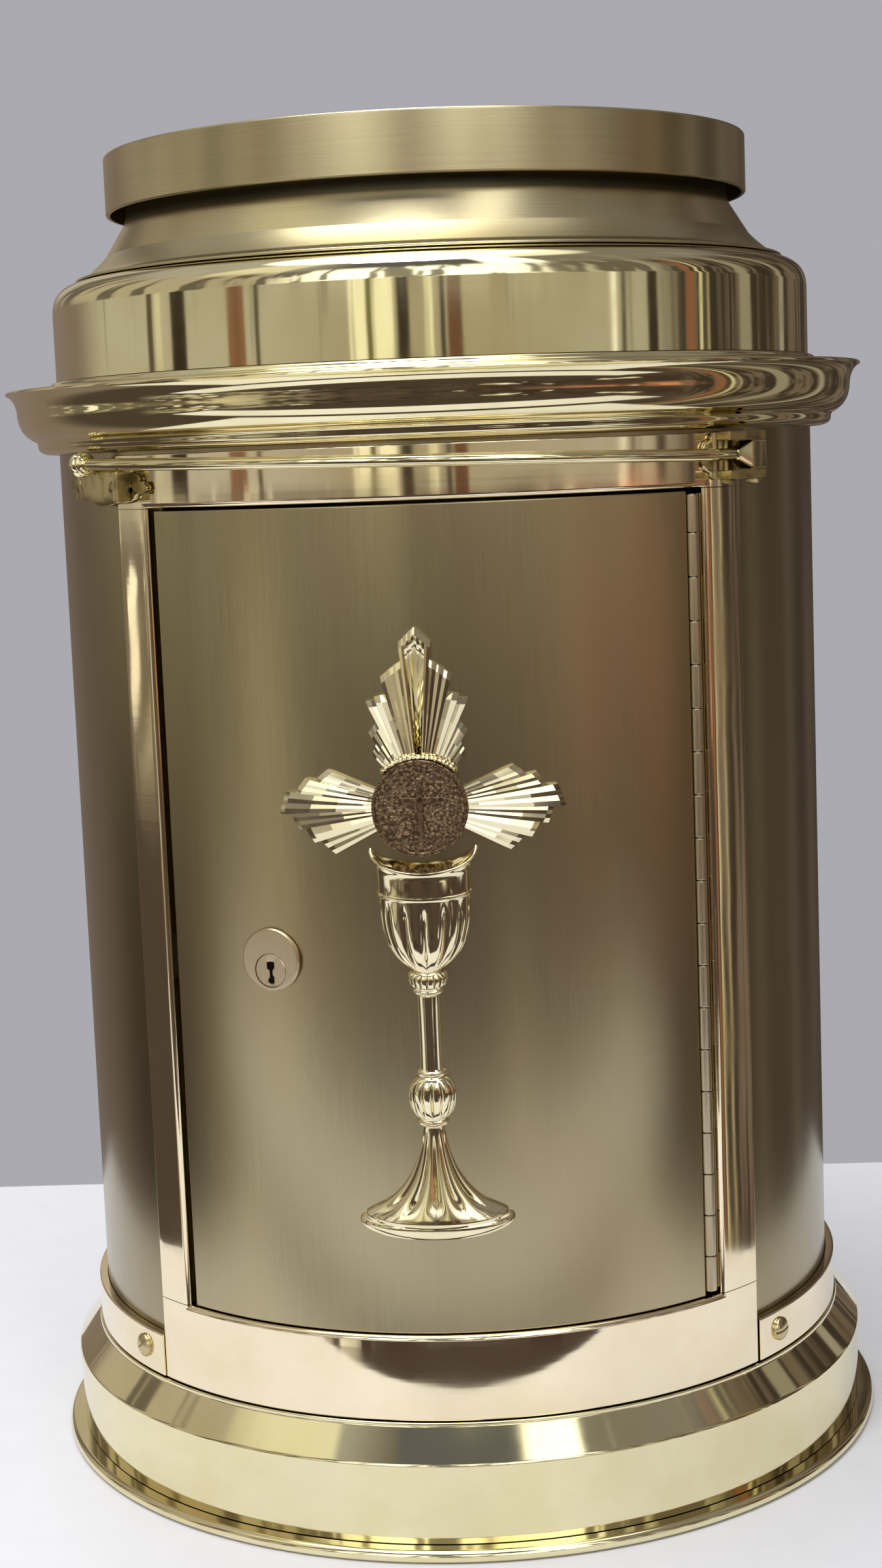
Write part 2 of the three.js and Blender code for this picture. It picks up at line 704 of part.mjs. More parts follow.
// The flutes of one tier and their mirror images on the left.
function tierFlutes({ from, to, reach, flutes }) {
  const made = [];
  for (let i = 0; i < flutes; i += 1) {
    const [near, far] = [i / flutes, (i + 1) / flutes];
    const angles = [near, far].map((share) => THREE.MathUtils.lerp(from, to, share));
    const reaches = [near, far].map((share) => THREE.MathUtils.lerp(...reach, share));
    made.push(flute({ from: angles[0], to: angles[1], reach: reaches }));
    made.push(flute({ from: -angles[1], to: -angles[0], reach: reaches.toReversed() }));
  }
  return made;
}

// Half-widths and heights of the chalice, from the lip down, measured from the host's middle.
const chaliceProfile = [
  [19.5, -14.8], [17.4, -19], [16.4, -30], [16.2, -33], [15.6, -42], [14.2, -48], [10, -54.4], [5.5, -58.5],
  [6.8, -61], [6.6, -64], [4.2, -67.4], [3.9, -96], [5.5, -99], [8.3, -106], [7.4, -110], [4.2, -114.6],
  [3.6, -117], [7.4, -130.6], [15.2, -142], [23, -147.5], [27.9, -150.6], [27.9, -153.6],
];

function chalice() {
  const profile = [[0, chaliceProfile[0][1]], ...chaliceProfile, [0, chaliceProfile.at(-1)[1]]];
  const geometry = turnedGeometry(profile, smallFacets);
  const position = geometry.attributes.position;
  for (let i = 0; i < position.count; i += 1) {
    const width = Math.hypot(position.getX(i), position.getY(i));
    const depth = width > 0 ? (position.getY(i) / width) * chaliceDepth * (1 - Math.exp(-width / 10)) : 0;
    position.setXYZ(i, position.getX(i), depth, hostHeight + position.getZ(i));
  }
  return solidFrom(layOnDoor(geometry));
}

function emblemCasting() {
  const base = doorOuter + fit;
  let casting = chalice();
  for (const piece of tiers.flatMap(tierFlutes)) casting = casting.add(piece);
  const bossRadius = hostRadius - 1;
  const bossTop = doorOuter + emblemBoss;
  casting = casting.add(turnedOutward(
    [[0, doorOuter - 2], [bossRadius, doorOuter - 2], [bossRadius, bossTop], [0, bossTop]],
    emblemAzimuth, hostHeight, 24));
  const pocket = hostRadius + fit;
  casting = casting.subtract(turnedOutward(
    [[0, bossTop], [pocket, bossTop], [pocket, bossTop + 20], [0, bossTop + 20]],
    emblemAzimuth, hostHeight, 24));
  casting = casting.subtract(disc(base, 0, capTop));
  for (const stud of studs) {
    const end = doorLinerInner - studNutThickness - 2;
    casting = casting.add(turnedOutward(
      [[0, end], [studDiameter / 2, end], [studDiameter / 2, base + 1], [0, base + 1]], emblemAzimuth, stud.z, 12));
  }
  return casting;
}

function emblemHost() {
  const back = doorOuter + emblemBoss + fit;
  const face = back + hostThickness;
  const rim = face + 0.8;
  const inner = hostRadius - hostRimWidth;
  const plate = turnedOutward(
    [[0, back], [hostRadius, back], [hostRadius, rim], [inner, rim], [inner, face], [0, face]],
    emblemAzimuth, hostHeight, 32);
  const half = crossWidth / 2;
  const reach = inner * 0.68;
  const upright = box([-half, half], [face - 1, rim], [hostHeight - reach, hostHeight + reach], emblemAzimuth);
  const arm = hostHeight + reach * 0.25;
  const crossbar = box([-reach * 0.7, reach * 0.7], [face - 1, rim], [arm - half, arm + half], emblemAzimuth);
  return plate.add(upright).add(crossbar);
}

function emblemNut(stud) {
  const outer = flatSeat(doorLinerInner, studNutWidth / Math.sqrt(3));
  return hexNut(studNutWidth, studDiameter / 2 + fit, outer - studNutThickness, outer, emblemAzimuth, stud.z);
}

// Cavity

const floorTop = openingBottom - cavityFloorDrop;
const ceilingBottom = openingTop + cavityCeilingRise;
const cavityFloor = () => disc(bodyInner - fit, floorTop - cavityFloorThickness, floorTop);
const cavityCeiling = () => disc(bodyInner - fit, ceilingBottom, ceilingBottom + cavityFloorThickness);
const cavityLiner = () => curvedPlate(
  linerRadius - linerWall, linerRadius, floorTop + fit, ceilingBottom - fit, linerHalfSpan, 360 - linerHalfSpan);

// Cornice, drum, neck and cap

function corniceRing() {
  const inner = bodyRadius + fit;
  const at = (reach, rise) => [bodyRadius + reach, corniceBottom + rise];
  return turned([
    [inner, corniceBottom],
    at(1.1, 0),
    ...bend(at(1.1, 0), at(corniceBead, 0.2), at(corniceBead, 3.4), 2),
    at(corniceBead + 0.4, 5.5),
    ...bend(at(corniceBead + 0.4, 5.5), at(15.4, 8.4), at(15.9, 15.6), 3),
    ...bend(at(15.9, 15.6), at(16.2, 22.4), at(corniceReach, 24), 3),
    at(corniceReach - 0.6, 25.2),
    at(5, 25.4),
    at(1.6, corniceHeight),
    [inner, corniceTop],
  ]);
}

function upperDrum() {
  const inner = drumRadius - domeWall;
  const round = (edge, top, shrink) =>
    bend([edge, drumEdge], [edge - 0.4, drumEdge + 7.5 - shrink], [top, drumTop - shrink], 3);
  return turned([
    [inner, drumBottom],
    [drumRadius, drumBottom],
    [drumRadius, drumEdge],
    ...round(drumRadius, drumTopRadius, 0),
    [drumTopRadius - drumLedge, drumTop],
    [drumTopRadius - drumLedge, drumTop - domeWall],
    ...round(inner, drumTopRadius - domeWall, domeWall).reverse(),
    [inner, drumEdge],
  ]);
}

function neck() {
  const foot = neckFootRadius;
  const seam = neckBottom + neckSeam;
  const lidUnderside = capTop - capWall - fit;
  const middle = neckBottom + neckCoveHeight / 2;
  const cove = (shrink, drop) => bend(
    [foot - shrink, seam - drop], [neckTopRadius + 2.9 - shrink, middle - drop],
    [neckTopRadius - shrink, neckRim], 4);
  return turned([
    [foot - domeWall, neckBottom],
    [foot + neckFlange, neckBottom],
    [foot + neckFlange, seam - 0.5],
    [foot, seam],
    ...cove(0, 0),
    [neckTopRadius, lidUnderside],
    [neckTopRadius - domeWall, lidUnderside],
    ...cove(domeWall, neckSeam).reverse(),
  ]);
}

function capLid() {
  return turned([
    [0, capTop - capWall],
    [capRadius - capWall, capTop - capWall],
    [capRadius - capWall, capBottom],
    [capRadius - 0.5, capBottom],
    [capRadius, capBottom + 0.5],
    [capRadius, capTop - capRounding],
    [capRadius - capRounding, capTop],
    [0, capTop],
  ]);
}

// Veil rod

const rodHeightAt = (azimuth) =>
  rodPivotHeight + (rodRise * (rodPivotAzimuth - azimuth)) / (rodPivotAzimuth - rodEndAzimuth);

const pointAt = (azimuth, radius, z) =>
  new THREE.Vector3(radius * Math.sin(radians(azimuth)), -radius * Math.cos(radians(azimuth)), z);

class RodPath extends THREE.Curve {
  constructor(from, to) {
    super();
    this.from = from;
    this.to = to;
  }

  getPoint(t) {
    const azimuth = this.from + (this.to - this.from) * t;
    return pointAt(azimuth, rodRadius, rodHeightAt(azimuth));
  }
}

const taperAzimuth = rodPivotAzimuth - degreesFor(blockLength / 2, rodRadius);
const rodStartAzimuth = taperAzimuth - degreesFor(blockTaper, rodRadius);

function rodBar() {
  const section = new THREE.Shape();
  const sides = 8;
  for (let i = 0; i < sides; i += 1) {
    const turn = (2 * Math.PI * i) / sides;
    const place = [(rodDiameter / 2) * Math.cos(turn), (rodDiameter / 2) * Math.sin(turn)];
    if (i === 0) section.moveTo(...place);
    else section.lineTo(...place);
  }
  const extrudePath = new RodPath(rodStartAzimuth + 1, rodEndAzimuth - 0.8);
  return solidFrom(new THREE.ExtrudeGeometry(section, { steps: 20, extrudePath, bevelEnabled: false }));
}

// Square block for the pivot, drawn down to the round rod.
function rodBlock() {
  const z = rodPivotHeight;
  const half = blockLength / 2;
  const block = box([-half, half], [rodRadius - blockWidth / 2, rodRadius + blockWidth / 2],
    [z - blockHeight / 2, z + blockHeight / 2], rodPivotAzimuth);
  const taper = new THREE.CylinderGeometry(Math.SQRT1_2, Math.SQRT1_2, 1, 4, 1).rotateY(Math.PI / 4);
  const position = taper.attributes.position;
  for (let i = 0; i < position.count; i += 1) {
    const along = position.getY(i) + 0.5;
    const width = THREE.MathUtils.lerp(rodDiameter, blockWidth, along);
    const height = THREE.MathUtils.lerp(rodDiameter, blockHeight, along);
    position.setXYZ(i, -half - blockTaper * (1 - along) + (along === 1 ? 0.2 : 0),
      -position.getX(i) * width - rodRadius, position.getZ(i) * height + z);
  }
  return block.add(solidFrom(taper.rotateZ(radians(rodPivotAzimuth))));
}

// Button on the free end: a neck ring and a flattened ball, turned about the rod's line.
function rodFinial() {
  const half = finialDiameter / 2;
  const geometry = turnedGeometry([
    [0, 0], [half * 0.7, 0], [half * 0.85, 0.6], [half * 0.7, 1.3], [half * 0.8, 1.7],
    ...bend([half * 0.8, 1.7], [half * 1.35, finialLength * 0.6], [half * 0.4, finialLength - 0.4], 4),
    [0, finialLength],
  ], 12);
  geometry.rotateY(-Math.PI / 2).translate(0, -rodRadius, rodHeightAt(rodEndAzimuth));
  return solidFrom(geometry.rotateZ(radians(rodEndAzimuth)));
}

const earInner = blockHeight / 2 + fit;
const earOuter = earInner + earThickness;

const pivotHole = () => {
  const radius = rodPinDiameter / 2 + fit;
  const bottom = rodPivotHeight - earOuter - 5;
  const top = rodPivotHeight + earOuter + 5;
  return turnedUpright([[0, bottom], [radius, bottom], [radius, top], [0, top]], rodPivotAzimuth, rodRadius, 12);
};

const veilRod = () => rodBar().add(rodBlock()).add(rodFinial()).subtract(pivotHole());

function rodPin() {
  const bottom = rodPivotHeight - earOuter - fit;
  const top = rodPivotHeight + earOuter;
  const head = rodPinHead / 2;
  return turnedUpright([
    [0, bottom - 1.9], [head * 0.6, bottom - 1.7], [head, bottom - 0.6], [head, bottom],
    [rodPinDiameter / 2, bottom], [rodPinDiameter / 2, top], [0, top],
  ], rodPivotAzimuth, rodRadius, 12);
}

// Rod brackets: scalloped plates on the frame and body

const plateInner = frameOuter + fit;
const plateOuter = plateInner + bracketPlate;
const bracketLeftMiddle = frameTop - bracketLeftDrop;
const bracketScrews = [
  { azimuth: bracketScrewInset - frameHalfSpan, z: bracketLeftMiddle },
  { azimuth: bracketRightAzimuth, z: rodPivotHeight },
];

// Leaf outline whose edge waves in lobes, pointed a little at both ends.
function scallopedOutline(width, height, lobes, z) {
  const points = [];
  const steps = 36;
  for (let i = 0; i < steps; i += 1) {
    const turn = (2 * Math.PI * i) / steps;
    const wave = 1 + 0.08 * Math.cos(lobes * turn);
    points.push(new THREE.Vector2((width / 2) * wave * Math.cos(turn), z + (height / 2) * wave * Math.sin(turn)));
  }
  return new THREE.Shape(points);
}

function scallopedPlate(width, height, lobes, azimuth, z) {
  return standing(scallopedOutline(width, height, lobes, z), plateInner - 20, plateOuter + 5, azimuth)
    .intersect(ring(plateInner, plateOuter, 0, capTop));
}

// The left bracket carries the rod's free end in a saddle that is open to the front.
function bracketLeft() {
  const z = bracketLeftMiddle;
  const rodBottom = rodHeightAt(saddleAzimuth) - rodDiameter / 2 - fit;
  const half = saddleWidth / 2;
  const plate = scallopedPlate(bracketLeftWidth, bracketLeftHeight, 8, bracketLeftAzimuth, z);
  const rib = box([-half, half], [plateInner + 0.5, rodRadius + rodDiameter / 2],
    [z - bracketLeftHeight * 0.4, rodBottom], saddleAzimuth);
  return plate.add(rib)
    .subtract(screwHole(bracketScrewShank, plateInner - 5, plateOuter + 5, bracketScrews[0].azimuth, z));
}

// The right bracket's two ears hold the rod's block on its upright pin.
function bracketRight() {
  const z = rodPivotHeight;
  const height = 2 * earOuter;
  let bracket = scallopedPlate(bracketRightWidth, height, 6, bracketRightAzimuth, z);
  const across = (rodPivotAzimuth - bracketRightAzimuth) * radians(1) * rodRadius;
  const reach = across + blockLength / 2;
  for (const side of [-1, 1]) {
    const span = side < 0 ? [z - earOuter, z - earInner] : [z + earInner, z + earOuter];
    const ear = box([-earWidth / 2, reach], [plateInner + 0.5, rodRadius + earWidth / 2], span, bracketRightAzimuth);
    const trimmed = ear.subtract(disc(plateInner + 0.2, 0, capTop));
    bracket = bracket.add(trimmed);
  }
  return bracket.subtract(pivotHole())
    .subtract(screwHole(bracketScrewShank, plateInner - 5, plateOuter + 5, bracketRightAzimuth, z));
}

const bracketScrew = ({ azimuth, z }) =>
  slottedScrew(bracketScrewHead, bracketScrewShank, plateOuter, 6.5, azimuth, z);

// Finishes

const finish = (color, roughness, metalness = 1) => new THREE.MeshStandardMaterial({ color, roughness, metalness });
const polishedBrass = () => finish('#d8c48c', 0.08);
const satinBrass = () => finish('#9a8a62', 0.36);
const castBrass = () => finish('#b79c55', 0.22);
const steel = () => finish('#8d8f92', 0.4);
const gilding = () => finish('#d6b45c', 0.3);

// Assembly

const tabernacle = new THREE.Group();

function add(name, solid, material) {
  const mesh = new THREE.Mesh(geometryFrom(solid), material);
  mesh.name = name;
  tabernacle.add(mesh);
}

add('foot_ring', footRing(), polishedBrass());
add('base_plate', basePlate(), steel());
add('base_skirt', baseSkirt(), polishedBrass());
add('base_collar', baseCollar(), polishedBrass());
add('collar_screw_left', collarScrew(-1), polishedBrass());
add('collar_screw_right', collarScrew(1), polishedBrass());
add('body_shell', bodyShell(), satinBrass());
add('frame_apron', frameApron(), polishedBrass());
add('frame_rail', frameRail(), polishedBrass());
add('frame_stile_left', frameStileLeft(), polishedBrass());
add('frame_stile_right', frameStileRight(), polishedBrass());
add('door_panel', doorPanel(), satinBrass());
add('door_liner', doorLiner(), gilding());
add('hinge_leaf_moving', hingeLeafMoving(), satinBrass());
add('hinge_leaf_fixed', hingeLeafFixed(), satinBrass());
add('hinge_pin', hingePin(), steel());
const stop = doorStop();
const stopHalves = stop.strip.subtract(stop.notch).decompose();
stopHalves.sort((a, b) => a.boundingBox().min[2] - b.boundingBox().min[2]);
add('door_stop_lower', stopHalves[0], satinBrass());
add('door_stop_upper', stopHalves[1], satinBrass());
add('lock_cylinder', lockCylinder(), satinBrass());
add('lock_plug', lockPlug(), satinBrass());
add('lock_nut', lockNut(), steel());
add('lock_cam', lockCam(), steel());
add('cam_screw', camScrew(), steel());
add('lock_strike', lockStrike(), steel());
add('emblem_casting', emblemCasting(), polishedBrass());
add('emblem_host', emblemHost(), castBrass());
for (const stud of studs) add(`emblem_nut_${stud.name}`, emblemNut(stud), steel());
add('cavity_floor', cavityFloor(), gilding());
add('cavity_ceiling', cavityCeiling(), gilding());
add('cavity_liner', cavityLiner(), gilding());
add('cornice_ring', corniceRing(), polishedBrass());
add('upper_drum', upperDrum(), polishedBrass());
add('neck', neck(), satinBrass());
add('cap_lid', capLid(), satinBrass());
add('rod_bracket_left', bracketLeft(), castBrass());
add('rod_bracket_right', bracketRight(), castBrass());
add('bracket_screw_left', bracketScrew(bracketScrews[0]), castBrass());
add('bracket_screw_right', bracketScrew(bracketScrews[1]), castBrass());
add('veil_rod', veilRod(), polishedBrass());
add('veil_rod_pin', rodPin(), castBrass());

export default tabernacle;
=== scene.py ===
# %% [markdown]
# # A round altar tabernacle in brass
#
# The real object is a drum of satin brass, 305 mm across, on a stepped base and under a moulded cornice.
# A curved door with a cast emblem closes a mirror-polished frame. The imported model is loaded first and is
# never moved. Everything below dresses it with fine meshes and procedural finishes in the same frame.

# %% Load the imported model
import json
from math import atan2, cos, degrees, exp, hypot, radians, sin

import bmesh
import bpy
from mathutils import Matrix, Vector, noise


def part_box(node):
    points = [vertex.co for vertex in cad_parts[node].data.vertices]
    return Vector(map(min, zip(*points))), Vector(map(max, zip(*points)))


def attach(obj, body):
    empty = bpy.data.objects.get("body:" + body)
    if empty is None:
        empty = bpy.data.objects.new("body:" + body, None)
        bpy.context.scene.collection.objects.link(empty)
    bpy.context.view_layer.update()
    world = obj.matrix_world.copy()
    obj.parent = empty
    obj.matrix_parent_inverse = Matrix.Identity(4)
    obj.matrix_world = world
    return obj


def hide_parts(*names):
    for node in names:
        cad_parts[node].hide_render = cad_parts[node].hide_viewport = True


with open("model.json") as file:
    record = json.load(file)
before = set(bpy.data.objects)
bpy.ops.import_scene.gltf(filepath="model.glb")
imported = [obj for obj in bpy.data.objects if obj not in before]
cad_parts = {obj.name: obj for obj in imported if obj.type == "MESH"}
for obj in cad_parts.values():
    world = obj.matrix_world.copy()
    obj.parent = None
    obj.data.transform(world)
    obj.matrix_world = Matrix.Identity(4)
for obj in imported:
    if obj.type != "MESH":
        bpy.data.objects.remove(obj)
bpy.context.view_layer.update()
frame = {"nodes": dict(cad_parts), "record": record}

MM = 0.001

# %% [markdown]
# ## Sizes
#
# The fine meshes have to sit exactly where the plain solids are, so their levels and radii are read from
# the boxes of those solids instead of being typed again. All modelling is done in millimetres, with the
# azimuth in degrees round the upright axis, from 0 at the front and growing to the right.

# %% Levels, radii and joint places
def levels(node):
    low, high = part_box(node)
    return low.z / MM, high.z / MM


def outer_radius(node):
    return -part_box(node)[0].y / MM


def joint_place(name):
    """Radius, azimuth and height of a joint."""
    joints = frame["record"]["behaviour"]["joints"]
    x, y, z = next(joint["pos_m"] for joint in joints if joint["name"] == name)
    return hypot(x, y) / MM, degrees(atan2(x, -y)), z / MM


def corner_azimuth(node, side):
    """Azimuth of a curved plate's left or right front edge, from the widest x of its box."""
    low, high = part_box(node)
    x = (low if side < 0 else high).x / MM
    return degrees(atan2(x, (outer_radius(node) ** 2 - x ** 2) ** 0.5))


# Clearances, and the few angles and heights that no solid's box gives
FIT = 0.3
SEAM = 0.3
PIN_PAST_FRAME = 0.05
LEFT_STILE_SPAN = 6.15
RIGHT_STILE_SPAN = 7.25
PLUG_DROP = 3.9
EMBLEM_SHIFT = 1.15
HOST_RISE = 196.2

body_radius = outer_radius("body_shell")
frame_radius = outer_radius("frame_rail")
door_radius = outer_radius("door_panel")
body_bottom, body_top = levels("body_shell")
frame_bottom, opening_bottom = levels("frame_apron")
opening_top, frame_top = levels("frame_rail")
door_bottom, door_top = levels("door_panel")
hinge_radius, hinge_azimuth, _ = joint_place("door_hinge")
lock_face, lock_azimuth, plug_height = joint_place("lock_turn")
rod_radius, pivot_azimuth, pivot_height = joint_place("veil_rod_swing")
frame_half_span = pivot_azimuth - PIN_PAST_FRAME
opening_left = LEFT_STILE_SPAN - frame_half_span
opening_right = frame_half_span - RIGHT_STILE_SPAN
lock_height = plug_height + PLUG_DROP
emblem_azimuth = (opening_left + opening_right) / 2 - EMBLEM_SHIFT
host_height = opening_bottom + HOST_RISE
print("body radius", round(body_radius, 1), "opening", round(opening_left, 2), round(opening_right, 2))

# %% [markdown]
# ## Shapes used again and again
#
# Nearly every piece is either spun on a lathe or is a sheet bent round the drum. A lathe piece starts as
# an outline of a few points that the spin operator turns about the axis. A bent sheet is modelled flat,
# because bevels and cuts are simple there, and is then wrapped: across becomes the arc, and depth the radius.

# %% Outlines
def arc(x, y, radius, start, end, steps):
    """Points on an arc, with its angles in degrees."""
    turns = [radians(start + (end - start) * i / steps) for i in range(steps + 1)]
    return [(x + radius * cos(turn), y + radius * sin(turn)) for turn in turns]


def bend(start, control, end, steps):
    """Points on a smooth bend that leaves and arrives towards the control point."""
    points = []
    for i in range(steps + 1):
        t = i / steps
        weights = ((1 - t) ** 2, 2 * t * (1 - t), t * t)
        points.append(tuple(sum(w * p[k] for w, p in zip(weights, (start, control, end))) for k in (0, 1)))
    return points


def rounded_box(inner, outer, bottom, top, radius):
    """Rectangle of (radius, height) whose two outer corners are eased."""
    return [(inner, bottom), *arc(outer - radius, bottom + radius, radius, -90, 0, 3),
            *arc(outer - radius, top - radius, radius, 0, 90, 3), (inner, top)]


# %% Blocks, cuts and turns
def brick(low, high):
    """Plain block between two opposite corners."""
    shape = bmesh.new()
    middle = Matrix.Translation([(first + last) / 2 for first, last in zip(low, high)])
    size = Matrix.Diagonal([last - first for first, last in zip(low, high)] + [1])
    bmesh.ops.create_cube(shape, size=1, matrix=middle @ size)
    return shape


def cylinder(radius, length, segments, height=0):
    """Cylinder about the upright axis, its middle at a height."""
    shape = bmesh.new()
    bmesh.ops.create_cone(shape, cap_ends=True, segments=segments, radius1=radius, radius2=radius,
                          depth=length, matrix=Matrix.Translation((0, 0, height)))
    return shape


def of_kind(items, kind):
    """Only the verts, the edges or the faces of what an operator returned."""
    return [item for item in items if isinstance(item, kind)]


def eased(shape, edges, offset, segments=3):
    """Round some edges. The operator's own defaults differ from the editor's, so all are given."""
    bmesh.ops.bevel(shape, geom=edges, offset=offset, segments=segments, profile=0.5,
                    affect="EDGES", material=-1)
    return shape


def sliced(shape, point, normal, reach=1e-4, clear=False):
    """Cut along a plane, clear the normal's side if asked, and return the edges of the cut."""
    geometry = shape.verts[:] + shape.edges[:] + shape.faces[:]
    cut = bmesh.ops.bisect_plane(shape, geom=geometry, dist=reach, plane_co=point, plane_no=normal,
                                 clear_outer=clear)
    return of_kind(cut["geom_cut"], bmesh.types.BMEdge)


def shifted(shape, vector):
    bmesh.ops.translate(shape, vec=vector, verts=shape.verts)
    return shape


def turned(shape, angle, axis):
    """Turn a shape by degrees about an axis through the origin."""
    matrix = Matrix.Rotation(radians(angle), 3, axis)
    bmesh.ops.rotate(shape, cent=(0, 0, 0), matrix=matrix, verts=shape.verts)
    return shape


# %% Spinning and bending
SPIN_STEP = 1.5
FEWEST_STEPS = 8


def spun(outline, start=0, sweep=360, steps=None):
    """Solid made by turning an outline of (radius, height) about the upright axis."""
    shape = bmesh.new()
    turn = Matrix.Rotation(radians(start), 4, "Z")
    points = [shape.verts.new(turn @ Vector((0, -radius, height))) for radius, height in outline]
    steps = steps or max(FEWEST_STEPS, round(abs(sweep) / SPIN_STEP))
    if sweep == 360:
        parts = points + [shape.edges.new(pair) for pair in zip(points, points[1:] + points[:1])]
    else:
        parts = points + [shape.faces.new(points)]
    bmesh.ops.spin(shape, geom=parts, cent=(0, 0, 0), axis=(0, 0, 1), dvec=(0, 0, 0),
                   angle=radians(sweep), steps=steps, use_merge=sweep == 360)
    bmesh.ops.remove_doubles(shape, verts=shape.verts, dist=1e-4)
    bmesh.ops.holes_fill(shape, edges=[edge for edge in shape.edges if edge.is_boundary])
    bmesh.ops.recalc_face_normals(shape, faces=shape.faces)
    return shape


def wrapped(shape, radius, azimuth=0, column=SPIN_STEP):
    """Bend a flat shape round the drum: its face at y = 0 comes to lie on the radius."""
    width = radians(column) * radius
    low = min(vert.co.x for vert in shape.verts)
    high = max(vert.co.x for vert in shape.verts)
    count = int((high - low) / width) + 1
    for i in range(1, count):
        sliced(shape, (low + (high - low) * i / count, 0, 0), (1, 0, 0))
    for vert in shape.verts:
        turn = radians(azimuth) + vert.co.x / radius
        out = radius - vert.co.y
        vert.co = Vector((out * sin(turn), -out * cos(turn), vert.co.z))
    return shape


def facing_out(shape, azimuth, height):
    """Turn a shape made about its own upright axis so that the axis points outwards at an azimuth."""
    matrix = Matrix(((1, 0, 0, 0), (0, 0, -1, 0), (0, 1, 0, height), (0, 0, 0, 1)))
    bmesh.ops.transform(shape, matrix=Matrix.Rotation(radians(azimuth), 4, "Z") @ matrix, verts=shape.verts)
    return shape


def upright_at(shape, azimuth, radius):
    """Move a shape made about the origin out to a radius at an azimuth."""
    matrix = Matrix.Rotation(radians(azimuth), 4, "Z") @ Matrix.Translation((0, -radius, 0))
    bmesh.ops.transform(shape, matrix=matrix, verts=shape.verts)
    return shape


def joined(*shapes):
    """One shape out of several, each still its own closed body."""
    whole = shapes[0]
    for shape in shapes[1:]:
        mesh = bpy.data.meshes.new("joining")
        shape.to_mesh(mesh)
        shape.free()
        whole.from_mesh(mesh)
        bpy.data.meshes.remove(mesh)
    return whole


def piece(name, shape, body, finish, *nodes, sharp=35):
    """Make the object, in metres, smooth up to the sharp angle, riding on its body."""
    bmesh.ops.recalc_face_normals(shape, faces=shape.faces)
    bmesh.ops.scale(shape, vec=(MM, MM, MM), verts=shape.verts)
    mesh = bpy.data.meshes.new(name)
    shape.to_mesh(mesh)
    shape.free()
    mesh.shade_smooth()
    mesh.set_sharp_from_angle(angle=radians(sharp))
    made = bpy.data.objects.new(name, mesh)
    bpy.context.scene.collection.objects.link(made)
    mesh.materials.append(finish)
    weighted = made.modifiers.new("flat faces stay flat", "WEIGHTED_NORMAL")
    weighted.keep_sharp = True
    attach(made, body)
    if nodes:
        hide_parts(*nodes)
    print(name, len(mesh.polygons), "faces")
    return made


# %% [markdown]
# ## Shader maths
#
# Node trees grow unreadable when each sum is wired by hand. A wire is wrapped in a small class whose
# operators add the Math nodes, so that a pattern is written as an ordinary expression.

# %% Wires and trees
class Wire:
    """A socket that can be added, taken away, multiplied and raised to a power like a number."""

    def __init__(self, nodes, socket):
        self.nodes = nodes
        self.socket = socket

    def math(self, operation, *values):
        sockets = dict(enumerate(values))
        return self.nodes.add("ShaderNodeMath", {"operation": operation}, sockets)

    def __add__(self, other):
        return self.math("ADD", self, other)

    def __sub__(self, other):
        return self.math("SUBTRACT", self, other)

    def __rsub__(self, other):
        return self.math("SUBTRACT", other, self)

    def __mul__(self, other):
        return self.math("MULTIPLY", self, other)

    def __pow__(self, other):
        return self.math("POWER", self, other)

    __radd__ = __add__
    __rmul__ = __mul__

    def ramp(self, low, high, start=0.0, end=1.0):
        """Smooth step of this value from low to high, running from start to end."""
        settings = {"interpolation_type": "SMOOTHSTEP"}
        values = {"Value": self, "From Min": low, "From Max": high, "To Min": start, "To Max": end}
        return self.nodes.add("ShaderNodeMapRange", settings, values)


class Nodes:
    """A node tree with one method that adds a node."""

    def __init__(self, tree):
        self.tree = tree

    def link(self, value, socket):
        if isinstance(value, Wire):
            self.tree.links.new(value.socket, socket)
        else:
            socket.default_value = value

    def add(self, kind, settings, values, output=0):
        """Any node: its type, its settings, the values or links of its sockets, and the output used."""
        node = self.tree.nodes.new(kind)
        for key, setting in settings.items():
            setattr(node, key, setting)
        for key, value in values.items():
            self.link(value, node.inputs[key])
        return Wire(self, node.outputs[output])

    def mix(self, factor, first, second):
        """Mix of two colours."""
        colors = [value if isinstance(value, Wire) else (*value, 1) for value in (first, second)]
        return self.add("ShaderNodeMix", {"data_type": "RGBA"}, {0: factor, 6: colors[0], 7: colors[1]}, 2)

    def noise(self, vector, scale, detail, roughness=0.5):
        values = {"Vector": vector, "Scale": scale, "Detail": detail, "Roughness": roughness}
        return self.add("ShaderNodeTexNoise", {}, values)

    def parts(self, vector):
        """The three numbers of a vector."""
        node = self.add("ShaderNodeSeparateXYZ", {}, {"Vector": vector}).socket.node
        return [Wire(self, socket) for socket in node.outputs]

    def vector(self, x, y, z):
        return self.add("ShaderNodeCombineXYZ", {}, {"X": x, "Y": y, "Z": z})


# %% [markdown]
# ## Camera
#
# The camera stands about a metre in front of the door, a little to its right, looks down by some eight
# degrees and is rolled by two. Its lens is that of a long phone view. These values make the drum's circles
# and levels fall where they lie in the view.

# %% Camera
EYE = Vector((35.2, -1007.4, 402.0)) * MM
TURN, DOWN, ROLL = radians(-2.17), radians(7.84), radians(2.25)
SENSOR_WIDTH = 36
FOCAL_LENGTH = 55.8
NEAREST = 0.01

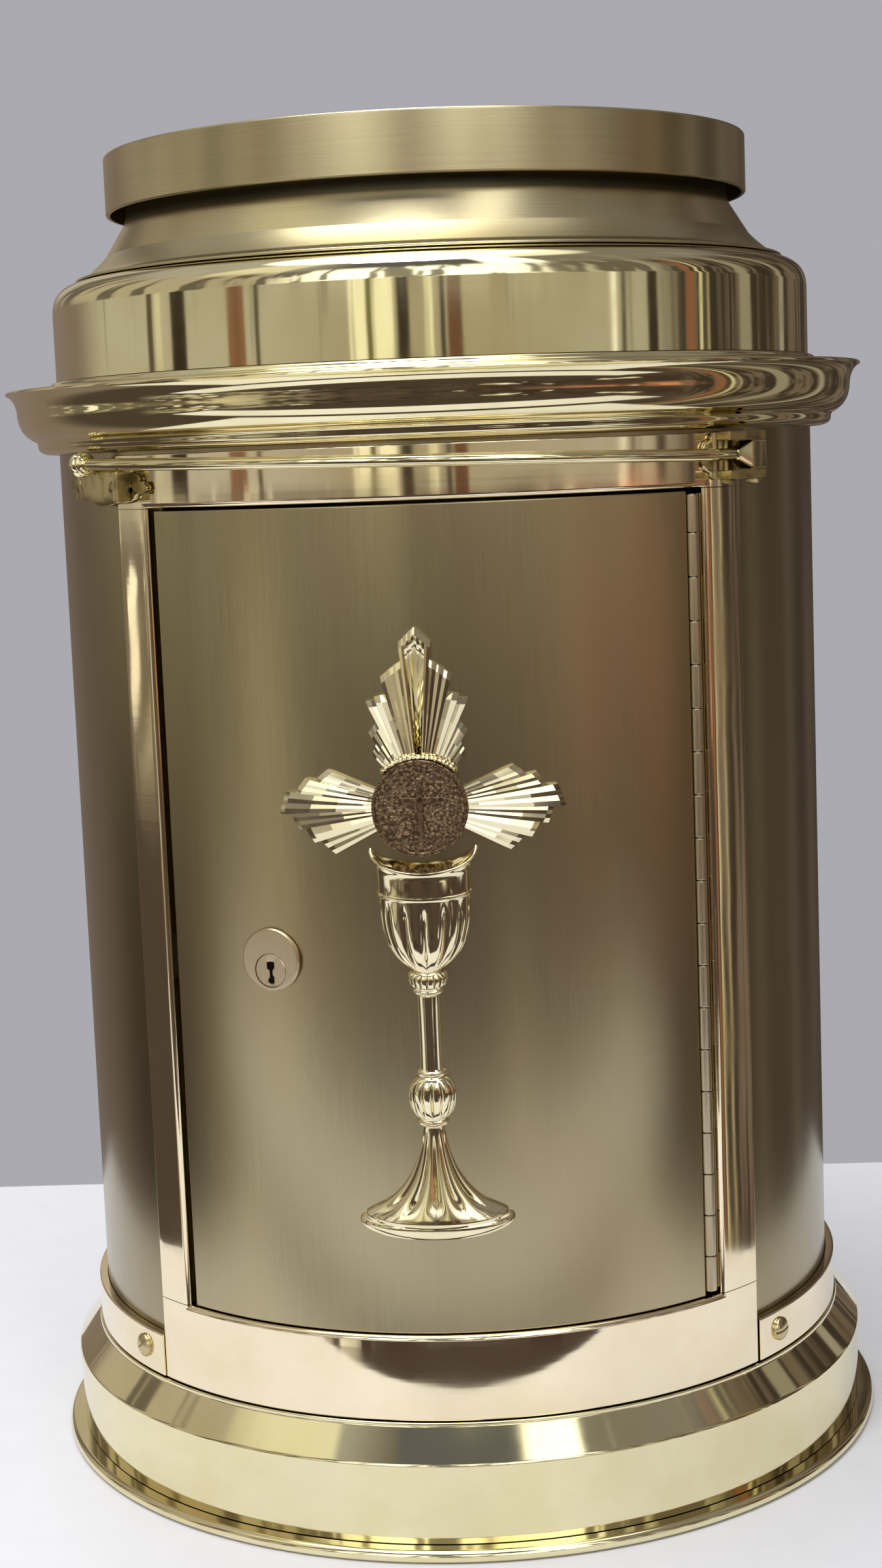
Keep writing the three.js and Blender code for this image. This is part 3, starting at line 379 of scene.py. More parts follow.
forward = Vector((sin(TURN) * cos(DOWN), cos(TURN) * cos(DOWN), -sin(DOWN)))
level_across = Vector((cos(TURN), -sin(TURN), 0))
below = forward.cross(level_across)
frame_across = cos(ROLL) * level_across + sin(ROLL) * below
frame_down = -sin(ROLL) * level_across + cos(ROLL) * below
lens = bpy.data.cameras.new("camera")
lens.sensor_fit = "AUTO"
lens.sensor_width = SENSOR_WIDTH
lens.lens = FOCAL_LENGTH
lens.clip_start = NEAREST
camera = bpy.data.objects.new("camera", lens)
camera_axes = Matrix((frame_across, -frame_down, -forward)).transposed()
camera.matrix_world = Matrix.Translation(EYE) @ camera_axes.to_4x4()
bpy.context.scene.collection.objects.link(camera)
bpy.context.scene.camera = camera
print("camera at", [round(value, 3) for value in EYE])

# %% [markdown]
# ## Table and light
#
# Polished brass has hardly a colour of its own: it shows the room. So the light is a plain room worked out
# from the direction alone: a ceiling that is bright overhead, a cream wall on the left, and a dim room with
# upright strips in front and on the right. The table is a pale slab whose front edge lies where its
# reflection ends on the apron. A pale card lies in front of it. Only the metal shows it, as the light at the
# door's foot, because it is hidden from the camera.

# %% Table and card
# Left, right, front, back and thickness in millimetres
TABLE = (-420, 390, -309, 312, 26)
CARD = (-1000, 760, -650, -380, 4)
LAMINATE_ROUGHNESS = 0.45

laminate = bpy.data.materials.new("table_laminate")
laminate.use_nodes = True
laminate_nodes = Nodes(laminate.node_tree)
laminate_shader = laminate.node_tree.nodes["Principled BSDF"]
laminate_place = laminate_nodes.add("ShaderNodeTexCoord", {}, {}, "Object")
grain = laminate_nodes.noise(laminate_place, 60, 4)
laminate_tone = laminate_nodes.mix(grain, (0.60, 0.61, 0.68), (0.65, 0.66, 0.73))
laminate_nodes.link(laminate_tone, laminate_shader.inputs["Base Color"])
laminate_shader.inputs["Roughness"].default_value = LAMINATE_ROUGHNESS


def board(name, left, right, front, back, thickness):
    """Flat board with its top at the level that the tabernacle stands on."""
    shape = brick((left, front, -thickness), (right, back, 0))
    eased(shape, shape.edges[:], thickness / 9)
    bmesh.ops.scale(shape, vec=(MM, MM, MM), verts=shape.verts)
    mesh = bpy.data.meshes.new(name)
    shape.to_mesh(mesh)
    shape.free()
    mesh.materials.append(laminate)
    made = bpy.data.objects.new(name, mesh)
    bpy.context.scene.collection.objects.link(made)
    print(name, right - left, "by", back - front)
    return made


board("table", *TABLE)
card = board("card", *CARD)
card.visible_camera = False

# %% [markdown]
# The room is painted on the world with masks of the direction. The bearing is the angle round the upright
# axis in radians, 0 in front of the door and growing to the right, and up runs from -1 below to 1 overhead.
# Stretched noises stand for what is out of focus in a real room, so no single stripe looks ruled.

# %% Masks of the room
world = bpy.data.worlds.new("room")
world.use_nodes = True
bpy.context.scene.world = world
room = Nodes(world.node_tree)
background = world.node_tree.nodes["Background"]
direction = room.add("ShaderNodeTexCoord", {}, {}, "Generated")
across, away, up = room.parts(direction)
bearing = room.add("ShaderNodeMath", {"operation": "ARCTAN2"}, {0: across, 1: away * -1})
to_left = bearing.ramp(-0.35, -0.95)
to_right = bearing.ramp(0.35, 0.95)
far_left = bearing.ramp(-1.2, -1.5)
far_right = bearing.ramp(1.15, 1.45)
bands = room.noise(room.vector(bearing * 3.2, 0, up * 0.5), 2.0, 3.0, 0.6)
fine_bands = room.noise(room.vector(bearing * 9, 4, up * 1.5), 2.0, 2.0, 0.6)
blotches = room.noise(room.vector(bearing * 2.2, 7, up * 7), 2.2, 3.0, 0.6)


def three(left, centre, right):
    """Colour that changes from the left over the centre to the right of the room's front."""
    return room.mix(to_right, room.mix(to_left, centre, left), right)


def strip(centre, half, soft=0.008):
    """Mask of an upright strip of the room round a bearing."""
    return bearing.ramp(centre - half - soft, centre - half + soft) * (
        1 - bearing.ramp(centre + half - soft, centre + half + soft))


def with_strips(base, strips, soft=0.008):
    """A part of the room with strips laid over it."""
    for centre, half, color in strips:
        base = room.mix(strip(centre, half, soft), base, color)
    return base


print("masks", len(world.node_tree.nodes), "nodes")

# %% Front of the room
# Bearing, half width and colour of what stands upright at eye level
HORIZON_STRIPS = [
    (-0.26, 0.11, (1.05, 1.0, 0.76)), (-0.27, 0.015, (0.16, 0.14, 0.04)), (-0.10, 0.03, (0.04, 0.03, 0.02)),
    (0.03, 0.02, (1.0, 0.95, 0.7)), (0.10, 0.012, (0.06, 0.05, 0.04)), (0.16, 0.035, (0.16, 0.08, 0.05)),
    (-0.98, 0.05, (0.26, 0.13, 0.08)), (-0.86, 0.012, (0.10, 0.07, 0.04)), (-1.34, 0.05, (0.04, 0.03, 0.02)),
    (-1.48, 0.02, (0.7, 0.66, 0.5)), (-1.54, 0.02, (0.10, 0.075, 0.05)), (0.99, 0.02, (1.1, 1.05, 0.95)),
    (1.05, 0.012, (0.06, 0.05, 0.04)), (1.22, 0.03, (0.04, 0.03, 0.02)),
]
DEEP_SHADE = (0.05, 0.026, 0.022)
PALE_PATCH = (1.3, 1.24, 1.05)

dark_or_light = room.mix(blotches.ramp(0.63, 0.645), DEEP_SHADE, PALE_PATCH)
floor_side = three((0.62, 0.57, 0.44), (0.09, 0.065, 0.055), (0.07, 0.05, 0.042))
floor_side = room.mix(bands.ramp(0.5, 0.62, 0, 0.6), floor_side, (0.06, 0.045, 0.04))
floor_side = room.mix(blotches.ramp(0.50, 0.52, 0, 0.9), floor_side, dark_or_light)
floor_side = room.mix(up.ramp(-0.345, -0.352), floor_side, (0.075, 0.055, 0.045))
floor_side = room.mix(far_left, floor_side, (0.08, 0.06, 0.05))
low_band = three((0.75, 0.69, 0.51), (0.14, 0.10, 0.07), (1.0, 0.45, 0.26))
low_band = room.mix(blotches.ramp(0.47, 0.49, 0, 0.8), low_band, dark_or_light)
horizon = three((0.50, 0.47, 0.40), (0.42, 0.37, 0.28), (0.46, 0.43, 0.36))
horizon = with_strips(horizon, HORIZON_STRIPS)
horizon = room.mix(fine_bands.ramp(0.58, 0.66, 0, 0.45), horizon, (0.10, 0.09, 0.06))
horizon = room.mix(up.ramp(-0.04, -0.01), low_band, horizon)
print("strips in front", len(HORIZON_STRIPS))

# %% Walls, ceiling and lamp
SIDE_STRIPS = [
    (1.47, 0.03, (0.26, 0.12, 0.07)), (1.545, 0.010, (0.8, 0.72, 0.48)), (1.60, 0.006, (0.5, 0.43, 0.28)),
    (1.9, 0.05, (0.30, 0.27, 0.22)), (2.3, 0.03, (0.34, 0.31, 0.27)),
]
CEILING_PANELS = [
    (-1.15, 0.30, (0.88, 0.84, 0.66)), (-0.05, 0.42, (0.13, 0.13, 0.15)), (0.56, 0.18, (2.2, 2.2, 2.1)),
]
OVERHEAD_LIGHT = (5.2, 5.2, 5.0)
LAMP_LIGHT = (12, 12, 11.6)
BACKDROP = (0.40, 0.40, 0.43)

walls = room.mix(up.ramp(-0.155, -0.085), floor_side, horizon)
walls = room.mix(bearing.ramp(-1.9, -2.3), walls, (0.24, 0.19, 0.165))
upper_walls = three((0.50, 0.44, 0.36), (2.0, 2.0, 1.9), (0.55, 0.52, 0.45))
upper_walls = room.mix(bands.ramp(0.44, 0.52, 0.9, 0), upper_walls, (0.12, 0.10, 0.085))
walls = room.mix(up.ramp(0.05, 0.22), walls, upper_walls)
right_side = room.mix(fine_bands.ramp(0.45, 0.6), (0.045, 0.035, 0.028), (0.17, 0.13, 0.105))
walls = room.mix(far_right, walls, with_strips(right_side, SIDE_STRIPS))
ceiling = three((0.46, 0.44, 0.42), (0.14, 0.125, 0.12), (0.24, 0.22, 0.21))
ceiling = room.mix(fine_bands.ramp(0.63, 0.67, 0, 0.4), ceiling, (0.85, 0.85, 0.80))
ceiling = with_strips(ceiling, CEILING_PANELS, soft=0.03)
high = room.mix(up.ramp(0.55, 0.72), walls, ceiling)
overhead = up.ramp(0.89, 0.93) * (1 - across.ramp(0.0, 0.3, 0, 0.8))
lamp = up.ramp(0.885, 0.895) * (1 - up.ramp(0.93, 0.94)) * strip(-0.25, 0.35)
lit = room.mix(lamp, room.mix(overhead, high, OVERHEAD_LIGHT), LAMP_LIGHT)
seen = room.add("ShaderNodeLightPath", {}, {}, "Is Camera Ray")
room.link(room.mix(seen, lit, BACKDROP), background.inputs["Color"])
background.inputs["Strength"].default_value = 1.0
bpy.context.scene.view_settings.view_transform = "Standard"
print("room", len(world.node_tree.nodes), "nodes")

# %% [markdown]
# Three large soft lights give the satin metal its shading. They are kept out of the reflections, where their
# discs would show as blobs that no real room has.

# %% Soft lights
LIT_POINT = (0, 0, 0.25)


def soft_light(name, place, width, power, color):
    """Round light that looks at the middle of the tabernacle and is never seen itself."""
    light = bpy.data.lights.new(name, "AREA")
    light.shape = "DISK"
    light.size = width
    light.energy = power
    light.color = color
    lamp_object = bpy.data.objects.new(name, light)
    lamp_object.location = place
    aim = Vector(LIT_POINT) - Vector(place)
    lamp_object.rotation_euler = aim.to_track_quat("-Z", "Y").to_euler()
    lamp_object.visible_camera = False
    lamp_object.visible_glossy = False
    bpy.context.scene.collection.objects.link(lamp_object)


soft_light("key", (-0.9, -1.4, 2.0), 0.6, 22, (1.0, 0.98, 0.95))
soft_light("fill", (1.6, -0.9, 1.6), 1.2, 3, (1.0, 0.95, 0.88))
soft_light("behind", (-0.4, 1.7, 1.7), 1.0, 7, (0.95, 0.97, 1.0))
print("view transform", bpy.context.scene.view_settings.view_transform)

# %% [markdown]
# ## Finishes
#
# One metal in several finishes. The polished parts carry a faint waviness from the buffing wheel. The satin
# parts are brushed, and the brushing follows the way that the piece was worked: upright on the drum and
# the door, in rings on what was spun.

# %% Metal base
def metal(name, slot, color, roughness):
    """Material, its nodes, and its shader with the constant values set."""
    made = bpy.data.materials.new(name)
    made.use_nodes = True
    made["slot"] = slot
    made.diffuse_color = (*color, 1)
    shader = made.node_tree.nodes["Principled BSDF"]
    shader.inputs["Metallic"].default_value = 1.0
    shader.inputs["Roughness"].default_value = roughness
    shader.inputs["Base Color"].default_value = (*color, 1)
    nodes = Nodes(made.node_tree)
    return made, nodes, shader, nodes.add("ShaderNodeTexCoord", {}, {}, "Object")


def add_bump(nodes, shader, height, strength, distance):
    values = {"Height": height, "Strength": strength, "Distance": distance}
    nodes.link(nodes.add("ShaderNodeBump", {}, values), shader.inputs["Normal"])


def shade(color, red, green, blue):
    """A colour with its red, green and blue taken as shares."""
    return color[0] * red, color[1] * green, color[2] * blue


# Small share of the turn in a spun piece's coordinates, so that its marks run far round before they break
TURN_SHARE = 0.0005


def ring_place(nodes, place):
    """Coordinates in which a spun piece's turning marks are straight: radius, height, and turn."""
    x, y, z = nodes.parts(place)
    radius = (x * x + y * y) ** 0.5
    turn = nodes.add("ShaderNodeMath", {"operation": "ARCTAN2"}, {0: x, 1: y})
    return nodes.vector(radius, z, turn * TURN_SHARE)


# %% Polished brass
# The coordinates are in metres, so noise scales are per metre and bump heights in metres
HAZE_SCALE = 24
HAZE_DULLING = 2.2
WAVE_SCALE = 30
RING_SCALE, RING_SHARE = 260, 0.06
WAVE_HEIGHT = 0.0012


def polished(name, color, dull=0.05, wavy=0.10):
    """Mirror finish, with a breath of haze and the waviness that a buffing wheel leaves."""
    made, nodes, shader, place = metal(name, "polished_brass", color, dull)
    haze = nodes.noise(place, HAZE_SCALE, 4, 0.6)
    deeper = shade(color, 0.93, 0.91, 0.84)
    nodes.link(nodes.mix(haze.ramp(0.35, 0.7), color, deeper), shader.inputs["Base Color"])
    nodes.link(haze.ramp(0.4, 0.75, dull, dull * HAZE_DULLING), shader.inputs["Roughness"])
    rings = nodes.noise(ring_place(nodes, place), RING_SCALE, 2)
    waves = nodes.noise(place, WAVE_SCALE, 1) + rings * RING_SHARE
    add_bump(nodes, shader, waves, wavy, WAVE_HEIGHT)
    return made


# %% Satin brass
FINE_SCALE, BROAD_SCALE, CLOUD_SCALE = 3200, 700, 9
BROAD_SHARE = 0.2
UPRIGHT_STRETCH = (1, 1, 0.012)
GRAIN_STRENGTH, GRAIN_HEIGHT = 0.06, 0.00005


def satin(name, ringed, color, dull):
    """Brushed finish: fine lines that run upright, or in rings on a spun piece, under a cloudy tone."""
    made, nodes, shader, place = metal(name, "satin_brass", color, dull)
    if ringed:
        grain_place = ring_place(nodes, place)
    else:
        grain_place = nodes.add("ShaderNodeMapping", {}, {"Vector": place, "Scale": UPRIGHT_STRETCH})
    fine = nodes.noise(grain_place, FINE_SCALE, 3, 0.7)
    broad = nodes.noise(grain_place, BROAD_SCALE, 2, 0.6)
    clouds = nodes.noise(place, CLOUD_SCALE, 3, 0.55)
    lighter = shade(color, 1.04, 1.04, 1.04)
    darker = shade(color, 0.94, 0.935, 0.91)
    warm = shade(color, 1.04, 0.93, 0.86)
    lines = (fine * (1 - BROAD_SHARE) + broad * BROAD_SHARE).ramp(0.35, 0.65)
    tone = nodes.mix(lines, darker, lighter)
    nodes.link(nodes.mix(clouds.ramp(0.4, 0.7, 0, 0.4), tone, warm), shader.inputs["Base Color"])
    nodes.link((fine * 0.04 + clouds * 0.08) + (dull - 0.06), shader.inputs["Roughness"])
    add_bump(nodes, shader, fine + broad * BROAD_SHARE, GRAIN_STRENGTH, GRAIN_HEIGHT)
    return made


# %% Cast, plated and rubbed metal
CAST_SCALE = 110
SPECK_SCALE = 900
PLATED_SCALE, GILT_SCALE = 420, 14


def cast(name, color, dull):
    """Skin of a casting, mottled with tarnish."""
    made, nodes, shader, place = metal(name, "cast_brass", color, dull)
    mottle = nodes.noise(place, CAST_SCALE, 3, 0.5)
    darker = shade(color, 0.45, 0.45, 0.45)
    nodes.link(nodes.mix(mottle.ramp(0.45, 0.7), color, darker), shader.inputs["Base Color"])
    nodes.link(mottle.ramp(0.3, 0.7, dull * 0.8, dull * 1.9), shader.inputs["Roughness"])
    add_bump(nodes, shader, mottle, 0.12, 0.0004)
    return made


def plated(name, slot, color, dull, scale=PLATED_SCALE):
    """Even finish of zinc or gilding, with a slight mottle."""
    made, nodes, shader, place = metal(name, slot, color, dull)
    mottle = nodes.noise(place, scale, 3, 0.6)
    darker = shade(color, 0.82, 0.82, 0.82)
    nodes.link(nodes.mix(mottle, color, darker), shader.inputs["Base Color"])
    nodes.link(mottle.ramp(0.3, 0.7, dull * 0.8, dull * 1.25), shader.inputs["Roughness"])
    add_bump(nodes, shader, mottle, 0.06, 0.0002)
    return made


def antiqued(name, color, speck_color, dull):
    """Brass that was darkened and rubbed, so that fine dark specks are left in it."""
    made, nodes, shader, place = metal(name, "cast_brass", color, dull)
    speck = nodes.noise(place, SPECK_SCALE, 4, 0.65)
    nodes.link(nodes.mix(speck.ramp(0.42, 0.62), speck_color, color), shader.inputs["Base Color"])
    nodes.link(speck.ramp(0.4, 0.65, 0.5, 0.26), shader.inputs["Roughness"])
    add_bump(nodes, shader, speck, 0.35, 0.0002)
    return made


# %% All finishes
mirror_brass = polished("mirror_brass", (0.88, 0.81, 0.53), wavy=0.06)
sheet_brass = polished("sheet_brass", (0.95, 0.84, 0.61))
casting_brass = polished("casting_brass", (0.90, 0.82, 0.57), 0.06)
screw_brass = polished("screw_brass", (0.62, 0.53, 0.33), 0.14)
brushed_brass = satin("brushed_brass", ringed=False, color=(0.49, 0.43, 0.27), dull=0.25)
drum_brass = satin("drum_brass", ringed=False, color=(0.37, 0.32, 0.20), dull=0.23)
spun_brass = satin("spun_brass", ringed=True, color=(0.62, 0.55, 0.35), dull=0.26)
face_brass = satin("face_brass", ringed=False, color=(0.60, 0.52, 0.37), dull=0.28)
antiqued_brass = antiqued("antiqued_brass", (0.40, 0.285, 0.17), (0.10, 0.06, 0.038), 0.3)
cast_brass = cast("cast_brass", (0.60, 0.50, 0.26), 0.20)
gilding = plated("gilding", "gilded_lining", (0.84, 0.69, 0.36), 0.34, GILT_SCALE)
steel = plated("zinc_steel", "steel", (0.55, 0.56, 0.57), 0.34)
# Near-black finish for the plate inside the keyway: painted shade of the keyway's depth, not a steel colour
keyway_painted_shade = plated("keyway_painted_shade", "steel", (0.015, 0.014, 0.013), 0.6)
for node in ("base_plate", "hinge_pin", "lock_nut", "lock_cam", "cam_screw", "lock_strike",
             "emblem_nut_upper", "emblem_nut_middle", "emblem_nut_lower"):
    frame["nodes"][node].material_slots[0].material = steel
for node in ("cavity_floor", "cavity_ceiling"):
    frame["nodes"][node].material_slots[0].material = gilding
for node in ("door_stop_lower", "door_stop_upper"):
    frame["nodes"][node].material_slots[0].material = brushed_brass
for node in ("emblem_host", "rod_bracket_left", "rod_bracket_right"):
    frame["nodes"][node].material_slots[0].material = cast_brass
print("finishes", len(bpy.data.materials))

# %% [markdown]
# ## Base
#
# The base was spun from sheet: a rolled bead to stand on, a short wall and a sloping shoulder that runs in
# under the drum. Three outlines and the spin operator give it, with every corner slightly eased, because
# a spun corner is never sharp and the eased edge catches a thin line of light.

# %% Foot and skirt
_, foot_top = levels("foot_ring")
foot_radius = outer_radius("foot_ring")
FOOT_RIM = 9.1
bead = foot_top / 2
foot_outline = [(foot_radius - FOOT_RIM, 0), *arc(foot_radius - bead, bead, bead, -90, 90, 14),
                (foot_radius - FOOT_RIM, foot_top)]
piece("foot_bead", spun(foot_outline), "root", mirror_brass, "foot_ring")

skirt_bottom, skirt_top = levels("base_skirt")
skirt_edge_radius = outer_radius("base_skirt")
SKIRT_WALL = 1.6
WALL_LEAN = 1.1
SHOULDER_RISE = 11.8
SHOULDER_REACH = 4.2
SHOULDER_LEDGE = 18
skirt_edge = skirt_top - SHOULDER_RISE
wall_foot = skirt_edge_radius - WALL_LEAN
shoulder_radius = body_radius + SHOULDER_REACH
ledge_inner = shoulder_radius - SHOULDER_LEDGE
skirt_outline = [
    (wall_foot - SKIRT_WALL, skirt_bottom), (wall_foot, skirt_bottom),
    (skirt_edge_radius - 0.1, skirt_edge - 2.2),
    *bend((skirt_edge_radius - 0.05, skirt_edge - 1.4), (skirt_edge_radius, skirt_edge - 0.4),
          (skirt_edge_radius - 1.0, skirt_edge + 0.5), 5),
    (shoulder_radius + 0.6, skirt_top - 2.0),
    *bend((shoulder_radius + 0.2, skirt_top - 1.6), (shoulder_radius, skirt_top - 1.3),
          (shoulder_radius, skirt_top - 0.9), 3),
    *arc(shoulder_radius - 0.4, skirt_top - 0.4, 0.4, 0, 90, 3),
    (ledge_inner, skirt_top), (ledge_inner, skirt_top - SKIRT_WALL),
    (shoulder_radius - 2 * SKIRT_WALL, skirt_top - SKIRT_WALL),
    (skirt_edge_radius - SKIRT_WALL, skirt_edge - SKIRT_WALL),
]
piece("skirt", spun(skirt_outline), "root", mirror_brass, "base_skirt")

# %% Collar and its screws
collar_bottom, collar_top = levels("base_collar")
COLLAR_THICKNESS = 3.3
COLLAR_EASE = 0.7
COLLAR_SCREW_OFFSET = 5.1
COLLAR_SCREW_HEAD = 9.2
COLLAR_SCREW_RISE = 2.4
COLLAR_SCREW_LEVEL = 0.55
collar_inner = body_radius + FIT
collar_radius = collar_inner + COLLAR_THICKNESS
collar_gap = degrees(FIT / collar_inner)
collar_outline = rounded_box(collar_inner, collar_radius, collar_bottom, collar_top, COLLAR_EASE)
collar = spun(collar_outline, frame_half_span + 2 * collar_gap, 360 - 2 * frame_half_span - 3 * collar_gap)
piece("collar", collar, "root", sheet_brass, "base_collar")

# Shares of the head's width: its crown and its slot. Shares of its rise: the slot's floor and its lowest face
CROWN = 0.42
SLOT_WIDTH = 0.11
SLOT_FLOOR = 0.42
LOWEST_SLOT_FACE = 0.25
SCREW_SHANK = 1.2


def slotted_screw(head, rise, lean):
    """Round-head screw about the upright axis, the slot in its face turned by an angle."""
    outline = [(0, -SCREW_SHANK), (head * CROWN, -SCREW_SHANK), (head / 2, 0.1),
               *bend((head / 2, 0.1 + rise * 0.2), (head * CROWN, rise), (0, rise), 8)]
    shape = spun(outline, steps=48)
    half = head * SLOT_WIDTH / 2
    for side in (-1, 1):
        sliced(shape, (0, side * half, 0), (0, 1, 0), 1e-5)
    middles = {face: face.calc_center_median() for face in shape.faces}
    floor = [face for face, middle in middles.items()
             if abs(middle.y) < half and middle.z > rise * LOWEST_SLOT_FACE]
    sunk = bmesh.ops.extrude_face_region(shape, geom=floor)
    for vert in of_kind(sunk["geom"], bmesh.types.BMVert):
        vert.co.z = min(vert.co.z, rise * SLOT_FLOOR)
    bmesh.ops.delete(shape, geom=floor, context="FACES")
    return turned(shape, lean, "Z")


collar_screw_height = collar_bottom + (collar_top - collar_bottom) * COLLAR_SCREW_LEVEL
for name, side, lean in (("left", -1, 38), ("right", 1, 8)):
    screw = slotted_screw(COLLAR_SCREW_HEAD, COLLAR_SCREW_RISE, lean)
    shifted(screw, (0, 0, collar_radius + 0.1))
    facing_out(screw, side * (frame_half_span + COLLAR_SCREW_OFFSET), collar_screw_height)
    piece(f"collar_screw_head_{name}", screw, "root", screw_brass, f"collar_screw_{name}")

# %% [markdown]
# ## Drum
#
# The drum is one rolled sheet with a doorway cut in its front. It is spun as a closed wall, and the doorway
# is cut with planes through the axis and across it, so that its edges are clean.

# %% Body shell
BODY_WALL = 1.6
DOORWAY_REVEAL = 3
DOORWAY_LEFT_REVEAL = 1.6
DOORWAY_RIGHT_REVEAL = 0.8
LEAF_WIDTH = 11.5
LEAF_MARGIN = 5
doorway_left = opening_left - DOORWAY_LEFT_REVEAL
doorway_right = hinge_azimuth + degrees((LEAF_WIDTH + LEAF_MARGIN) / body_radius) + DOORWAY_RIGHT_REVEAL
body_inner = body_radius - BODY_WALL
wall_levels = [body_bottom, opening_bottom - DOORWAY_REVEAL, opening_top + DOORWAY_REVEAL, body_top]
inside_of_wall = [(body_inner, level) for level in reversed(wall_levels)]
outside_of_wall = [(body_radius, level) for level in wall_levels]
drum = spun(inside_of_wall + outside_of_wall)
for azimuth in (doorway_left, doorway_right):
    across_wall = Vector((cos(radians(azimuth)), sin(radians(azimuth)), 0))
    sliced(drum, (0, 0, 0), across_wall, 1e-3)


def in_doorway(face):
    middle = face.calc_center_median()
    turn = degrees(atan2(middle.x, -middle.y))
    return doorway_left < turn < doorway_right and wall_levels[1] < middle.z < wall_levels[2]


bmesh.ops.delete(drum, geom=[face for face in drum.faces if in_doorway(face)], context="FACES")
bmesh.ops.bridge_loops(drum, edges=[edge for edge in drum.edges if edge.is_boundary])
piece("drum_wall", drum, "root", drum_brass, "body_shell")

# %% [markdown]
# ## Cornice, upper drum, neck and cap
#
# The cornice is a classical moulding: a bead, a small step and an ogee that flares to a thin lip. Over it
# stand a plain polished drum with a quarter-round shoulder, a satin cove and the band of the cap.

# %% Cornice
cornice_bottom, cornice_top = levels("cornice_ring")
cornice_reach = outer_radius("cornice_ring") - body_radius
cornice_height = cornice_top - cornice_bottom


def at(out, rise):
    """Point of the cornice, out from the drum's side and up from the cornice's foot."""
    return body_radius + out, cornice_bottom + rise


cornice_outline = [
    at(0.3, 0),
    *bend(at(1.1, 0.0), at(8.2, 0.1), at(8.3, 3.4), 9),
    *bend(at(8.3, 3.6), at(8.3, 5.0), at(9.2, 5.5), 3),
    *bend(at(9.3, 5.5), at(15.4, 8.4), at(15.9, 15.6), 12),
    *bend(at(15.92, 15.9), at(16.2, 22.4), at(cornice_reach, 24), 12),
    *bend(at(cornice_reach, 24.1), at(cornice_reach, 25.1), at(cornice_reach - 0.8, 25.2), 4),
    *bend(at(8, 25.3), at(3.0, 25.4), at(2.2, 27), 8),
    *bend(at(2.1, 27.2), at(1.8, cornice_height), at(0.9, cornice_height), 3),
    at(0.3, cornice_height),
]
piece("cornice", spun(cornice_outline), "root", mirror_brass, "cornice_ring")

# %% Upper drum
drum_bottom, drum_top = levels("upper_drum")
drum_radius = outer_radius("upper_drum")
DOME_WALL = 1.6
DRUM_ROUND_HEIGHT = 10.4
DRUM_ROUND_WIDTH = 9.1
DRUM_LEDGE = 8
drum_edge = drum_top - DRUM_ROUND_HEIGHT
ledge_edge = drum_radius - DRUM_ROUND_WIDTH
drum_ledge_inner = ledge_edge - DRUM_LEDGE
drum_outline = [
    (drum_radius - DOME_WALL, drum_bottom), (drum_radius, drum_bottom), (drum_radius, drum_edge - 0.6),
    *bend((drum_radius - 0.1, drum_edge), (drum_radius - 0.6, drum_edge + 7.9),
          (ledge_edge, drum_top - 0.3), 12),
    (ledge_edge - 0.8, drum_top), (drum_ledge_inner, drum_top), (drum_ledge_inner, drum_top - DOME_WALL),
    *bend((ledge_edge - DOME_WALL, drum_top - DOME_WALL), (drum_radius - 2.2, drum_edge + 5),
          (drum_radius - DOME_WALL, drum_edge), 8),
]
piece("polished_drum", spun(drum_outline), "root", mirror_brass, "upper_drum")

# %% Neck and cap
neck_bottom, neck_top = levels("neck")
cap_bottom, cap_top = levels("cap_lid")
cap_radius = outer_radius("cap_lid")
NECK_INSET = 4
RIM_INSET = 8.1
NECK_STEP = 1.5
COVE_HEIGHT = 25.4
COVE_MIDDLE = 12.7
neck_foot = ledge_edge - NECK_INSET
neck_rim_radius = cap_radius - RIM_INSET
neck_rim_inner = neck_rim_radius - DOME_WALL
neck_seam = neck_bottom + NECK_STEP
neck_rim = neck_seam + COVE_HEIGHT
cove_middle = neck_bottom + COVE_MIDDLE
neck_outline = [
    (neck_foot - 2 * DOME_WALL, neck_bottom), (neck_foot + 3.3, neck_bottom),
    *bend((neck_foot + 3.5, neck_bottom + 0.2), (neck_foot + 3.5, neck_seam - 0.4),
          (neck_foot + 2.6, neck_seam - 0.5), 4),
    *bend((neck_foot, neck_seam), (neck_rim_radius + 2.9, cove_middle), (neck_rim_radius, neck_rim), 20),
    (neck_rim_radius, neck_top), (neck_rim_inner, neck_top), (neck_rim_inner, neck_rim),
]
piece("neck_cove", spun(neck_outline), "root", spun_brass, "neck")

CAP_WALL = 1.6
CAP_LOWER_EASE = 0.6
CAP_UPPER_EASE = 1
cap_inner = cap_radius - CAP_WALL
cap_outline = [
    (0, cap_top - CAP_WALL), (cap_inner, cap_top - CAP_WALL), (cap_inner, cap_bottom),
    *arc(cap_radius - CAP_LOWER_EASE, cap_bottom + CAP_LOWER_EASE, CAP_LOWER_EASE, -90, 0, 4),
    *arc(cap_radius - CAP_UPPER_EASE, cap_top - CAP_UPPER_EASE, CAP_UPPER_EASE, 0, 90, 5),
    (0, cap_top),
]
piece("cap", spun(cap_outline), "root", spun_brass, "cap_lid")

# %% [markdown]
# ## Frame
#
# The frame is one soldered sheet with an opening whose edge is rolled over. It is modelled flat as a grid of
# nine cells without the middle one, given its thickness, and its inner edge is rounded by the bevel
# operator. Cut at the opening's corners, it gives the rail, the apron and the two stiles.

# %% Flat frame
FRAME_THICKNESS = 2.6
ROLLED_EDGE = 1.9
FRAME_EASE = 0.45
NEAR = 1e-3


def arc_length(azimuth):
    return radians(azimuth) * frame_radius


